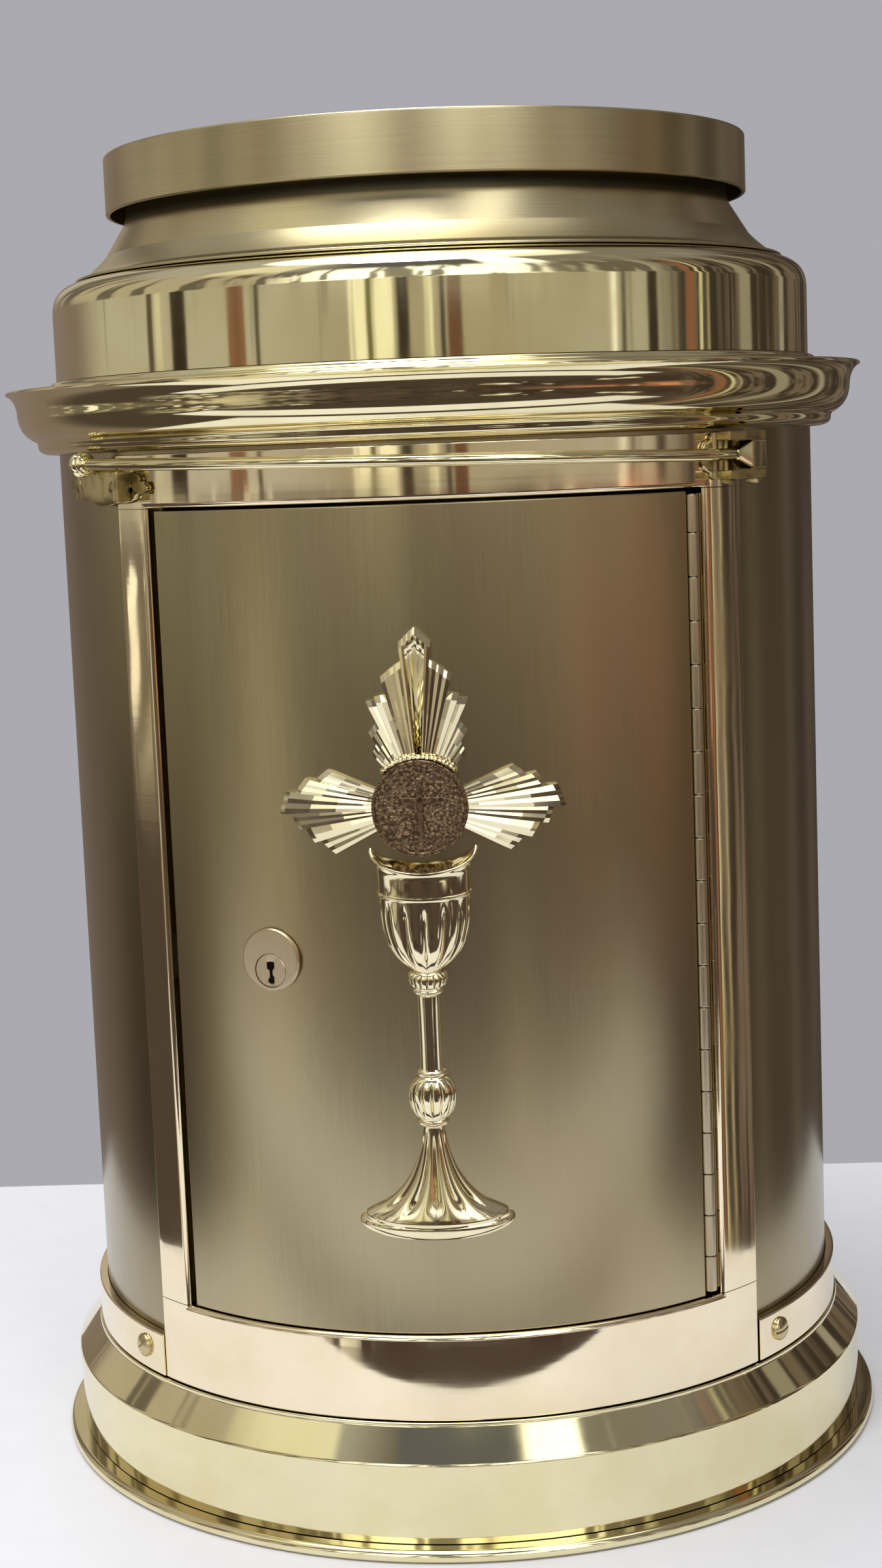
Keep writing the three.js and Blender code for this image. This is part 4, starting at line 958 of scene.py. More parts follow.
def flat_frame():
    """The whole frame laid flat: across is the length of arc, and y runs into the wall."""
    shape = bmesh.new()
    bmesh.ops.create_grid(shape, x_segments=3, y_segments=3, size=1.5)
    columns = [arc_length(turn) for turn in (-frame_half_span, opening_left, opening_right, frame_half_span)]
    rows = [frame_bottom, opening_bottom, opening_top, frame_top]
    for vert in shape.verts:
        vert.co = Vector((columns[round(vert.co.x + 1.5)], 0, rows[round(vert.co.y + 1.5)]))

    def in_opening(face):
        middle = face.calc_center_median()
        return columns[1] < middle.x < columns[2] and rows[1] < middle.z < rows[2]

    def around(edge, lows, highs):
        ends = [vert.co for vert in edge.verts]
        flat = all(abs(end.y) < 1e-5 for end in ends)
        sides = any(all(abs(end.x - x) < NEAR for end in ends) for x in (lows[0], highs[0]))
        tiers = any(all(abs(end.z - z) < NEAR for end in ends) for z in (lows[1], highs[1]))
        inside = all(lows[0] - NEAR <= end.x <= highs[0] + NEAR and lows[1] - NEAR <= end.z <= highs[1] + NEAR
                     for end in ends)
        return flat and inside and (sides or tiers)

    bmesh.ops.delete(shape, geom=[face for face in shape.faces if in_opening(face)], context="FACES")
    back = bmesh.ops.extrude_face_region(shape, geom=shape.faces[:], use_keep_orig=True)
    back_verts = of_kind(back["geom"], bmesh.types.BMVert)
    bmesh.ops.translate(shape, vec=(0, FRAME_THICKNESS, 0), verts=back_verts)
    bmesh.ops.recalc_face_normals(shape, faces=shape.faces)
    inner = [edge for edge in shape.edges if around(edge, (columns[1], rows[1]), (columns[2], rows[2]))]
    eased(shape, inner, ROLLED_EDGE, 5)
    outer = [edge for edge in shape.edges if around(edge, (columns[0], rows[0]), (columns[3], rows[3]))]
    return eased(shape, outer, FRAME_EASE, 2)


def trimmed(shape, point, normal):
    """Cut away what lies on the normal's side of a plane and close the cut."""
    bmesh.ops.edgenet_fill(shape, edges=sliced(shape, point, normal, clear=True))
    return shape


# %% Rail, apron and stiles
apron = trimmed(flat_frame(), (0, 0, opening_bottom), (0, 0, 1))
piece("apron", wrapped(apron, frame_radius), "root", sheet_brass, "frame_apron")
rail = trimmed(flat_frame(), (0, 0, opening_top), (0, 0, -1))
piece("top_rail", wrapped(rail, frame_radius), "root", sheet_brass, "frame_rail")
for name, side in (("left", -1), ("right", 1)):
    stile = trimmed(flat_frame(), (0, 0, opening_bottom + SEAM), (0, 0, -1))
    stile = trimmed(stile, (0, 0, opening_top - SEAM), (0, 0, 1))
    stile = trimmed(stile, (0, 0, 0), (-side, 0, 0))
    piece(f"stile_{name}", wrapped(stile, frame_radius), "root", sheet_brass, f"frame_stile_{name}")

# %% [markdown]
# ## Door
#
# The door is a plate bent to the drum's curve, with its edges just broken. It reaches a little further up and
# down than the plain plate in the model, so that only a fine gap is left at the rail and at the sill. Behind
# it lies the gilt inner plate, seen when the door stands open.

# %% Door panel and inner plate
DOOR_THICKNESS = 3
DOOR_EASE = 0.6
DOOR_LAP = 1.1
SILL_LAP = 1.6
LOCK_SIDE_GAP = 3.2
LOCK_SIDE_LAP = 0.5
HINGE_SIDE_GAP = 2.8
INNER_PLATE = 2.5
door_left = opening_left + degrees(LOCK_SIDE_GAP / (body_radius + FIT))
door_right = hinge_azimuth - degrees(HINGE_SIDE_GAP / hinge_radius)


def door_arc(azimuth):
    return radians(azimuth) * door_radius


door = brick((door_arc(door_left) - LOCK_SIDE_LAP, 0, door_bottom - SILL_LAP),
             (door_arc(door_right), DOOR_THICKNESS, door_top + DOOR_LAP))
door_front = [edge for edge in door.edges if all(abs(vert.co.y) < 1e-5 for vert in edge.verts)]
eased(door, door_front, DOOR_EASE, 4)
piece("door", wrapped(door, door_radius), "door", brushed_brass, "door_panel")


def curved_plate(inner, outer, bottom, top, left, right):
    """Plain plate with the drum's curve, between two radii, two levels and two azimuths."""
    outline = [(inner, bottom), (outer, bottom), (outer, top), (inner, top)]
    return spun(outline, left, right - left)


liner_outer = door_radius - DOOR_THICKNESS - FIT
liner_bottom, liner_top = levels("door_liner")
liner_left = corner_azimuth("door_liner", -1)
liner_right = corner_azimuth("door_liner", 1)
inner_plate = curved_plate(liner_outer - INNER_PLATE, liner_outer, liner_bottom, liner_top,
                           liner_left, liner_right)
piece("door_inner_plate", inner_plate, "door", gilding, "door_liner")

# %% Cavity liner
LINER_WALL = 1.5
LINER_PAST_FRAME = 4.25
cavity_bottom, cavity_top = levels("cavity_liner")
liner_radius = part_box("cavity_liner")[1].y / MM
liner_half_span = frame_half_span + LINER_PAST_FRAME
cavity_wall = curved_plate(liner_radius - LINER_WALL, liner_radius, cavity_bottom, cavity_top,
                           liner_half_span, 360 - liner_half_span)
piece("cavity_wall", cavity_wall, "root", gilding, "cavity_liner")

# %% [markdown]
# ## Hinge
#
# A piano hinge runs up the whole door: two leaves whose knuckles take turns on one pin. There are nineteen,
# with a short one at each end. Each knuckle is a cylinder with broken rims, so that the joints between them
# show as fine lines.

# %% Knuckles
KNUCKLE = 5
KNUCKLE_EASE = 0.45
PITCH = 16
hinge_length = door_top - door_bottom
knuckles = 2 * round((hinge_length / PITCH - 1) / 2) + 1
end_knuckle = (hinge_length - (knuckles - 2) * PITCH) / 2
print("knuckles", knuckles, "end ones", round(end_knuckle, 2))


def knuckle_spans():
    """Bottom and top of each knuckle, from the lowest up."""
    bottom = door_bottom
    for i in range(knuckles):
        top = bottom + (end_knuckle if i in (0, knuckles - 1) else PITCH)
        yield bottom + FIT / 2, top - FIT / 2
        bottom = top


def knuckle(bottom, top):
    shape = cylinder(KNUCKLE / 2, top - bottom, 32, (bottom + top) / 2)
    rims = [edge for edge in shape.edges if abs(edge.verts[0].co.z - edge.verts[1].co.z) < 1e-4]
    return upright_at(eased(shape, rims, KNUCKLE_EASE, 2), hinge_azimuth, hinge_radius)


# %% Leaves
LEAF = 1.1
LEAF_GAP = 0.15
TAB_GAP = 0.12
TAB_LAP = 0.5
spans = list(knuckle_spans())
moving_inner = liner_outer - LEAF
fixed_inner = body_radius - LEAF
moving_left = liner_right + LEAF_GAP
moving = [curved_plate(moving_inner, liner_outer, door_bottom, door_top, moving_left, hinge_azimuth)]
for span in spans[1::2]:
    moving.append(curved_plate(moving_inner, hinge_radius, *span, door_right + TAB_GAP, hinge_azimuth))
    moving.append(knuckle(*span))
piece("hinge_leaf_door", joined(*moving), "door", face_brass, "hinge_leaf_moving")

fixed_left = hinge_azimuth + degrees((KNUCKLE / 2 + 2 * FIT) / hinge_radius)
fixed_right = doorway_right - LEAF_GAP
fixed = [curved_plate(fixed_inner, body_radius, door_bottom, door_top, fixed_left, fixed_right)]
for span in spans[::2]:
    fixed.append(curved_plate(fixed_inner, body_radius, *span, hinge_azimuth, fixed_left + TAB_LAP))
    fixed.append(knuckle(*span))
piece("hinge_leaf_frame", joined(*fixed), "root", face_brass, "hinge_leaf_fixed")

# %% [markdown]
# ## Lock
#
# A cam lock of the usual cylinder size. Its satin face is turned and has the plug's bore below its middle,
# so the two circles don't share a centre: the operator that bridges two loops makes the face between
# them, and further loops are drawn out from it. The keyway in the plug is made in the same way. The wards
# that fill a real keyway read as darkness from outside, so a near-black plate just inside it paints that
# darkness: painted shade, standing in for the wards in shadow.

# %% Loops drawn out
LOOP_SEGMENTS = 72


def circle(shape, radius, drop, height):
    """Loop of edges round a middle that is a little below the axis, at a height along the axis."""
    made = bmesh.ops.create_circle(shape, cap_ends=False, segments=LOOP_SEGMENTS, radius=radius,
                                   matrix=Matrix.Translation((0, -drop, height)))
    verts = set(made["verts"])
    edges = {edge for vert in verts for edge in vert.link_edges}
    return [edge for edge in edges if all(end in verts for end in edge.verts)]


def drawn(shape, edges, steps):
    """Extrude a loop through steps of (scale, rise) about its own middle, and return the last loop."""
    for scale, rise in steps:
        result = bmesh.ops.extrude_edge_only(shape, edges=edges)
        verts = of_kind(result["geom"], bmesh.types.BMVert)
        ends = set(verts)
        edges = [edge for edge in of_kind(result["geom"], bmesh.types.BMEdge)
                 if all(end in ends for end in edge.verts)]
        centre = sum((vert.co for vert in verts), Vector()) / len(verts)
        matrix = Matrix.Translation(centre + Vector((0, 0, rise))) @ Matrix.Diagonal((scale, scale, 1, 1))
        bmesh.ops.transform(shape, matrix=matrix @ Matrix.Translation(-centre), verts=verts)
    return edges


# %% Lock face
FACE_RADIUS = 11.7
FACE_THICKNESS = 1.7
FACE_EASE = 0.8
UPPER_DROP, LOWER_DROP = 0.12, 0.55
BARREL_RADIUS = 11.2
BARREL_LENGTH = 24
PLUG_RADIUS = 6.15
BORE_GAP = 0.22
lock_shape = bmesh.new()
lock_rim = circle(lock_shape, FACE_RADIUS - FACE_EASE, 0, lock_face)
lock_bore = circle(lock_shape, PLUG_RADIUS + BORE_GAP, PLUG_DROP, lock_face)
bmesh.ops.bridge_loops(lock_shape, edges=lock_rim + lock_bore)
widening = FACE_RADIUS / (FACE_RADIUS - FACE_EASE)
half_widening = 1 + (widening - 1) / 2
lock_rim = drawn(lock_shape, lock_rim, [
    (half_widening, -UPPER_DROP), (widening / half_widening, -LOWER_DROP),
    (1, UPPER_DROP + LOWER_DROP - FACE_THICKNESS), (BARREL_RADIUS / FACE_RADIUS, 0), (1, -BARREL_LENGTH)])
lock_bore = drawn(lock_shape, lock_bore, [(1, -FACE_THICKNESS - BARREL_LENGTH)])
bmesh.ops.bridge_loops(lock_shape, edges=lock_rim + lock_bore)
facing_out(lock_shape, lock_azimuth, lock_height)
piece("lock_face", lock_shape, "door", face_brass, "lock_cylinder")

# %% Plug with its keyway
KEYWAY = [
    (-1.5, 3.5), (-0.9, 3.9), (1.3, 3.9), (1.7, 3.4), (1.7, 1.0), (0.9, 0.2), (0.9, -1.6), (1.5, -2.2),
    (1.5, -5.0), (0.9, -5.5), (-0.7, -5.5), (-1.1, -5.0), (-1.1, -3.2), (-0.4, -2.6), (-0.4, 0.0),
    (-1.5, 0.8),
]
KEYWAY_DEPTH = 16
KEYWAY_INSET, KEYWAY_CHAMFER = 0.88, 0.35
PLUG_EASE, PLUG_EASE_DROP = 0.25, 0.2
TAIL_WIDTH, TAIL_LENGTH = 7, 4
plug_shape = bmesh.new()
plug_rim = circle(plug_shape, PLUG_RADIUS - PLUG_EASE, 0, lock_face)
corners = [plug_shape.verts.new((x, y, lock_face)) for x, y in KEYWAY]
keyway = [plug_shape.edges.new(pair) for pair in zip(corners, corners[1:] + corners[:1])]
bmesh.ops.bridge_loops(plug_shape, edges=plug_rim + keyway)
keyway = drawn(plug_shape, keyway, [(KEYWAY_INSET, -KEYWAY_CHAMFER), (1, -KEYWAY_DEPTH)])
bmesh.ops.edgenet_fill(plug_shape, edges=keyway)
plug_back = lock_face - FACE_THICKNESS - BARREL_LENGTH
plug_rim = drawn(plug_shape, plug_rim, [
    (PLUG_RADIUS / (PLUG_RADIUS - PLUG_EASE), -PLUG_EASE_DROP), (1, plug_back - lock_face + PLUG_EASE_DROP)])
bmesh.ops.edgenet_fill(plug_shape, edges=plug_rim)
tail = brick((-TAIL_WIDTH / 2, -TAIL_WIDTH / 2, plug_back - TAIL_LENGTH),
             (TAIL_WIDTH / 2, TAIL_WIDTH / 2, plug_back))
facing_out(plug_shape, lock_azimuth, plug_height)
facing_out(tail, lock_azimuth, plug_height)
piece("lock_core", joined(plug_shape, tail), "plug", face_brass, "lock_plug")

# %% Dark wards, with the keyway's shade painted on
WARD_DROP = 0.7
WARD_SHARE = 0.99
WARD_THICKNESS = 1
# A near-black plate just inside the keyway paints the shade in it, standing in for the wards in shadow
wards = bmesh.new()
ward_verts = [wards.verts.new((x * WARD_SHARE, y * WARD_SHARE, lock_face - WARD_DROP)) for x, y in KEYWAY]
ward_face = wards.faces.new(ward_verts)
sunk = bmesh.ops.extrude_face_region(wards, geom=[ward_face], use_keep_orig=True)
sunk_verts = of_kind(sunk["geom"], bmesh.types.BMVert)
bmesh.ops.translate(wards, vec=(0, 0, -WARD_THICKNESS), verts=sunk_verts)
piece("lock_wards_painted_shade", facing_out(wards, lock_azimuth, plug_height), "plug", keyway_painted_shade)

# %% [markdown]
# ## Emblem
#
# The casting stands for rays that burst from behind a round host over a chalice. Each ray is a narrow ridge
# whose section is extruded outwards, ending in a small sloping facet that catches the light. The chalice
# is half of a turned cup: its outline is spun half round, flattened, and its flutes are pressed in by a
# wave round the axis. All of it is then laid on the door's curve.

# %% Ridged rays
HOST_RADIUS = 17.2
RAY_START = 11
RAY_BASE = -0.3
RAY_LAP = 0.25
RAY_STAGES = (0.25, 0.5, 0.75, 1)
END_FACET = 2.4
END_RISE = 0.42


def ridge(start, end, reach, edge, top):
    """One ray between two angles from the upright, its tip cut from one reach to the other."""
    shape = bmesh.new()
    middle = radians((start + end) / 2)
    slope = sin(radians((end - start) / 2 + RAY_LAP))
    section = [(-1, RAY_BASE), (1, RAY_BASE), (1, edge), (0, top), (-1, edge)]
    along = Vector((sin(middle), 0, cos(middle)))
    aside = Vector((cos(middle), 0, -sin(middle)))

    def ring(near, far, lift):
        points = []
        for side, height in section:
            distance = near + (far - near) * (side + 1) / 2
            place = along * distance + aside * side * distance * slope
            if side == 0:
                height = edge + (top - edge) * distance / max(reach)
            points.append(Vector((place.x, -height * (lift if height > 0 else 1), host_height + place.z)))
        return points

    before = ring(RAY_START, RAY_START, 1)
    face = shape.faces.new([shape.verts.new(point) for point in before])
    lengths = [tip - END_FACET - RAY_START for tip in reach]
    stages = [(*(RAY_START + length * share for length in lengths), 1) for share in RAY_STAGES]
    stages.append((*reach, END_RISE))
    for stage in stages:
        result = bmesh.ops.extrude_face_region(shape, geom=[face], use_keep_orig=stage is stages[0])
        face = of_kind(result["geom"], bmesh.types.BMFace)[0]
        after = ring(*stage)
        for vert in face.verts:
            nearest = min(range(len(before)), key=lambda i: (vert.co - before[i]).length)
            vert.co = after[nearest]
        before = after
    bmesh.ops.recalc_face_normals(shape, faces=shape.faces)
    return shape


# Angles from the upright, reaches at both angles, heights of the ridge's edges and top, and ridges
RAYS = [
    (0, 5.3, 63.7, 58.9, 2.9, 3.4, 3), (5.3, 14.8, 52.4, 48.2, 2.4, 3.0, 3),
    (14.8, 20.6, 41.6, 42.2, 2.2, 3.4, 1), (20.6, 25.2, 41.0, 42.0, 1.8, 2.6, 1),
    (25.2, 33, 33.8, 32, 1.6, 2.3, 2), (33, 41, 27.2, 25.2, 1.3, 1.9, 2),
    (68, 76, 36, 39.4, 1.9, 2.6, 2), (76, 83.5, 43, 46, 2.3, 3.0, 2),
    (83.5, 92.5, 49.5, 52, 2.5, 3.3, 2), (92.5, 100, 47.4, 46, 2.3, 3.0, 2),
    (100, 108, 43, 41, 2.0, 3.0, 1), (108, 118, 38.6, 35.6, 1.7, 2.4, 2),
]
rays = []
for start, end, near, far, edge, top, count in RAYS:
    for i in range(count):
        shares = (i / count, (i + 1) / count)
        turns = [start + (end - start) * share for share in shares]
        reaches = [near + (far - near) * share for share in shares]
        rays.append(ridge(*turns, reaches, edge, top))
        rays.append(ridge(-turns[1], -turns[0], reaches[::-1], edge, top))
print("rays", len(rays))

# %% Chalice
# Half outline of the turned cup from the rim down, in millimetres across and below the host's middle
CUP = [
    (18.2, -15.6), *arc(18.9, -15.4, 0.55, 150, -40, 6),
    *bend((18.9, -16.2), (17.2, -17.4), (16.9, -20.5), 5),
    *bend((16.9, -21), (16.3, -26), (16.4, -29.8), 4)[1:], *arc(16.3, -31.0, 0.75, 80, -80, 5),
    *bend((16.2, -32.4), (16.9, -49.5), (9.4, -55.6), 18), *bend((9.2, -55.8), (6.6, -57.8), (5.2, -58.7), 5),
    *bend((5.4, -59.2), (8.1, -60.2), (6.6, -64.2), 7), (5.2, -64.8), *arc(4.7, -66.3, 0.95, 70, -70, 5),
    (4.1, -67.8), *bend((4.1, -68.2), (3.7, -82), (4.0, -95.4), 8), *arc(4.3, -97.0, 1.15, 75, -75, 5),
    *bend((5.0, -98.8), (9.2, -100.6), (8.5, -107.2), 9),
    *bend((8.4, -107.6), (7.8, -112.2), (5.4, -113.4), 6), *arc(4.9, -114.9, 1.0, 75, -75, 5),
    (3.9, -116.6), *bend((3.9, -117), (6.2, -139.5), (24.2, -147.4), 26),
    (24.9, -147.9), *arc(25.0, -149.0, 0.95, 80, -10, 4),
    (25.9, -149.8), *arc(26.8, -151.6, 1.6, 80, -70, 8), (26.6, -153.4),
]
MOUTH = [(0, -20.2), (9, -19.6), (14.5, -18.2)]
UNDERSIDE = [(0, -153.4)]
# Where the flutes run, how many go round, how deep they are, and how sharp their valleys are
FLUTES = [(-33.6, -57.2, 14, 0.9, 1.6), (-59.2, -64.4, 18, 0.45, 2), (-99.6, -112.8, 14, 0.85, 2),
          (-119, -146.2, 12, 1.4, 0.8)]
FLUTE_FADE = 6
FULL_FLUTE_WIDTH = 8
# How far the front of each level hangs below its ends
SAGS = [(-15, 8.4), (-20, 7.2), (-30.5, 1.9), (-56, 1.6), (-98, 0.5), (-120, 0.8), (-147, 3.4), (-154, 4.2)]
CHALICE_DEPTH = 8
FULL_DEPTH_WIDTH = 10


def sag(level):
    for (upper, first), (lower, second) in zip(SAGS, SAGS[1:]):
        if upper >= level > lower:
            return first + (second - first) * (upper - level) / (upper - lower)
    return SAGS[0][1] if level > SAGS[0][0] else SAGS[-1][1]


def flute_depth(turn, width, level):
    """How far a flute is pressed in at a turn from the front, a half width and a level of the cup."""
    pressed = 0.0
    for upper, lower, count, deep, sharpness in FLUTES:
        if upper > level > lower:
            run = (upper - level) / (upper - lower)
            fade = min(1, FLUTE_FADE * run, FLUTE_FADE * (1 - run))
            full = min(1, width / FULL_FLUTE_WIDTH)
            pressed = deep * full * fade * (1 - abs(sin(count * turn / 2))) ** (0.5 + sharpness)
    return pressed


chalice = spun(MOUTH + CUP + UNDERSIDE, -90, 180, 132)
for vert in chalice.verts:
    x, y, level = vert.co
    width = hypot(x, y)
    if width < 1e-4:
        continue
    facing = max(0.0, -y / width)
    turn = atan2(x, -y)
    pressed = flute_depth(turn, width, level)
    depth = CHALICE_DEPTH * (1 - exp(-width / FULL_DEPTH_WIDTH))
    out = (depth - pressed) * facing
    vert.co = Vector(((width - pressed) * sin(turn), -out, level - sag(level) * facing))
shifted(chalice, (0, 0, host_height))
print("chalice", len(chalice.verts), "vertices")

# %% Beads over the host
BEADS = 19
BEAD_ARC = 86
BEAD_PATH = HOST_RADIUS + 0.9
BEAD_RISE = 4.6
BEAD_WIDTH, BEAD_DEPTH = 1.25, 1.6
SMALL_BEAD, LARGE_BEAD = 0.95, 1.2
beads = []
for i in range(BEADS):
    turn = radians(-BEAD_ARC / 2 + BEAD_ARC * i / (BEADS - 1))
    place = Matrix.Translation((sin(turn) * BEAD_PATH, -BEAD_RISE, host_height + cos(turn) * BEAD_PATH))
    size = Matrix.Diagonal((BEAD_WIDTH, BEAD_DEPTH, LARGE_BEAD if i % 2 else SMALL_BEAD, 1))
    bead_shape = bmesh.new()
    bmesh.ops.create_uvsphere(bead_shape, u_segments=12, v_segments=8, radius=1,
                              matrix=place @ Matrix.Rotation(-turn, 4, "Y") @ size)
    beads.append(bead_shape)
print("beads", len(beads))

# %% Casting on its studs
BOSS_INSET = 1
BOSS_DEPTH = 4
BOSS_MIDDLE = 1.7
CASTING_LIFT = 0.3
STUD_RADIUS = 1.5
STUD_LENGTH = 12
STUD_MIDDLE = 5
STUD_RISES = (34, 0, -143)
boss = turned(cylinder(HOST_RADIUS - BOSS_INSET, BOSS_DEPTH, 48), 90, "X")
shifted(boss, (0, -BOSS_MIDDLE, host_height))
casting = shifted(joined(chalice, *rays, *beads, boss), (0, -CASTING_LIFT, 0))
for vert in casting.verts:
    vert.co.y = min(vert.co.y, -CASTING_LIFT)
wrapped(casting, door_radius, emblem_azimuth, column=90)
studs = []
for rise in STUD_RISES:
    stud = cylinder(STUD_RADIUS, STUD_LENGTH, 20, door_radius - STUD_MIDDLE)
    studs.append(facing_out(stud, emblem_azimuth, host_height + rise))
piece("emblem", joined(casting, *studs), "door", casting_brass, "emblem_casting", sharp=24)

# %% [markdown]
# ### Host
#
# The disc in the middle is an antiqued plate with a plain rim. Its stippled ground is real relief: a dense
# field of rings is shaken by a noise, as a punch would have left it. A plain cross stands on it.

# %% Host disc
HOST_RIM = 1.4
RIM_EASE = 0.4
BOSS_TOP = 3.6
HOST_THICKNESS = 2.2
RIM_RISE = 0.8
FIELD_RINGS = 44
COARSE_STIPPLE, COARSE_HEIGHT = 1.84, 0.42
FINE_STIPPLE, FINE_HEIGHT = 4.6, 0.18
host_inner = HOST_RADIUS - HOST_RIM
back_level = door_radius + BOSS_TOP + FIT
field_level = back_level + HOST_THICKNESS
rim_level = field_level + RIM_RISE
field = [(host_inner * i / FIELD_RINGS, field_level) for i in range(FIELD_RINGS)]
host_outline = [
    (0, back_level), (HOST_RADIUS, back_level),
    *arc(HOST_RADIUS - RIM_EASE, rim_level - RIM_EASE, RIM_EASE, 0, 90, 4),
    *arc(host_inner + RIM_EASE, rim_level - RIM_EASE, RIM_EASE, 90, 180, 4),
    (host_inner, field_level), *field[:0:-1], (0, field_level),
]
host = spun(host_outline, steps=220)
for vert in host.verts:
    x, y, level = vert.co
    if abs(level - field_level) < 1e-4 and hypot(x, y) < host_inner - 0.3:
        coarse = noise.noise(Vector((x, y, 0)) * COARSE_STIPPLE)
        fine = noise.noise(Vector((x, y, 9)) * FINE_STIPPLE)
        vert.co.z += COARSE_HEIGHT * coarse + FINE_HEIGHT * fine
print("host ground shaken over", FIELD_RINGS, "rings")

# %% Cross on the host
HALF_BAR = 1.2
CROSS_SUNK, CROSS_RISE = 0.5, 0.8
CROSS_EASE = 0.3
cross_reach = host_inner * 0.68
arm_reach = cross_reach * 0.7
arm_level = cross_reach * 0.25
bars = []
for half_width, bottom, top in ((HALF_BAR, -cross_reach, cross_reach),
                                (arm_reach, arm_level - HALF_BAR, arm_level + HALF_BAR)):
    bar = brick((-half_width, bottom, field_level - CROSS_SUNK), (half_width, top, field_level + CROSS_RISE))
    bars.append(eased(bar, bar.edges[:], CROSS_EASE, 2))
host = facing_out(joined(host, *bars), emblem_azimuth, host_height)
piece("host_disc", host, "door", antiqued_brass, "emblem_host", sharp=60)

# %% [markdown]
# ## Veil rod
#
# The curtain rod follows the drum in a gentle climb and swings on a pin at the right. A circle is spun
# round the drum's axis while it is lifted a little at each step. The square end is drawn out of a block:
# one face is extruded and shrunk to the rod's thickness.

# %% Rod, block and end button
ROD = 4.4
ROD_RISE = 5.6
ROD_STEPS = 110
ROD_PAST_FRAME = 3.75
ROD_LAP = 0.8
BUTTON_LAP = 0.6
end_azimuth = -frame_half_span - ROD_PAST_FRAME


def rod_height(azimuth):
    return pivot_height + ROD_RISE * (pivot_azimuth - azimuth) / (pivot_azimuth - end_azimuth)


BLOCK_LENGTH, BLOCK_WIDTH, BLOCK_HEIGHT, BLOCK_TAPER = 8, 7, 10.2, 6.5
BLOCK_EASE = 0.55
TAPER_END = 0.86 * ROD
rod_start = pivot_azimuth - degrees((BLOCK_LENGTH / 2 + BLOCK_TAPER) / rod_radius) + ROD_LAP
rod_end = end_azimuth - BUTTON_LAP
rod = bmesh.new()
bmesh.ops.create_circle(rod, cap_ends=True, segments=20, radius=ROD / 2)
rod_place = Matrix.Translation((0, -rod_radius, rod_height(rod_start))) @ Matrix.Rotation(radians(90), 4, "Y")
bmesh.ops.transform(rod, matrix=Matrix.Rotation(radians(rod_start), 4, "Z") @ rod_place, verts=rod.verts)
lift = (rod_height(rod_end) - rod_height(rod_start)) / ROD_STEPS
bmesh.ops.spin(rod, geom=rod.verts[:] + rod.edges[:] + rod.faces[:], cent=(0, 0, 0), axis=(0, 0, 1),
               dvec=(0, 0, lift), angle=radians(rod_end - rod_start), steps=ROD_STEPS, use_merge=False)
bmesh.ops.holes_fill(rod, edges=[edge for edge in rod.edges if edge.is_boundary])

block = brick((-BLOCK_LENGTH / 2, -BLOCK_WIDTH / 2, -BLOCK_HEIGHT / 2),
              (BLOCK_LENGTH / 2, BLOCK_WIDTH / 2, BLOCK_HEIGHT / 2))
left_face = min(block.faces, key=lambda face: face.calc_center_median().x)
taper = bmesh.ops.extrude_discrete_faces(block, faces=[left_face])
taper_verts = list(taper["faces"][0].verts)
bmesh.ops.scale(block, vec=(1, TAPER_END / BLOCK_WIDTH, TAPER_END / BLOCK_HEIGHT), verts=taper_verts)
bmesh.ops.translate(block, vec=(-BLOCK_TAPER, 0, 0), verts=taper_verts)
eased(block, [edge for edge in block.edges if edge.calc_length() > ROD], BLOCK_EASE, 2)
upright_at(shifted(block, (0, 0, pivot_height)), pivot_azimuth, rod_radius)

BUTTON = [
    (0, -0.5), (2.4, -0.5), *arc(3.4, 0.9, 0.9, -120, 100, 8), (2.9, 1.9),
    *bend((3.2, 2.0), (6.0, 3.8), (3.9, 6.2), 10), *bend((3.7, 6.4), (2.4, 7.4), (0.9, 7.4), 5), (0, 7.4),
]
button = turned(spun(BUTTON, steps=40), -90, "Y")
upright_at(shifted(button, (0, 0, rod_height(end_azimuth))), end_azimuth, rod_radius)
piece("curtain_rod", joined(rod, block, button), "rod", mirror_brass, "veil_rod")

# %% [markdown]
# ### Brackets
#
# Both brackets are small cast leaves with lobed edges, darker than the sheet. The left one holds up a
# saddle on a ribbed post, and the right one carries two ears with the pin between them.

# %% Cast plates
PLATE = 1.6
PLATE_EASE = 0.7
PLATE_STEPS = 96
# Share of the plate that each inset leaves, and how much of the swell it rises by
SWELL_STAGES = ((0.7, 0.5), (0.6, 0.35), (0.4, 0.15))
SWELL_INSET = 0.35
plate_inner = frame_radius + FIT
plate_outer = plate_inner + PLATE


def lobed_plate(width, height, lobes, depth, swell, tilt=0.0):
    """Flat leaf with a lobed edge, its rim rounded and its middle swollen."""
    shape = bmesh.new()
    made = bmesh.ops.create_circle(shape, cap_ends=True, segments=PLATE_STEPS, radius=1)
    for vert in made["verts"]:
        turn = atan2(vert.co.y, vert.co.x)
        wave = 1 + depth * (abs(cos(lobes * turn / 2 + tilt)) - 0.5)
        vert.co = Vector((width / 2 * wave * cos(turn), 0, height / 2 * wave * sin(turn)))
    back = bmesh.ops.extrude_face_region(shape, geom=shape.faces[:], use_keep_orig=True)
    front = of_kind(back["geom"], bmesh.types.BMFace)[0]
    bmesh.ops.translate(shape, vec=(0, -PLATE, 0), verts=list(front.verts))
    eased(shape, list(front.edges), PLATE_EASE)
    front = min(shape.faces, key=lambda item: (round(item.calc_center_median().y, 3), -item.calc_area()))
    for share, rise in SWELL_STAGES:
        inset = height * 0.5 * (1 - share) * SWELL_INSET
        bmesh.ops.inset_region(shape, faces=[front], thickness=inset, depth=swell * rise)
    bmesh.ops.recalc_face_normals(shape, faces=shape.faces)
    return shape


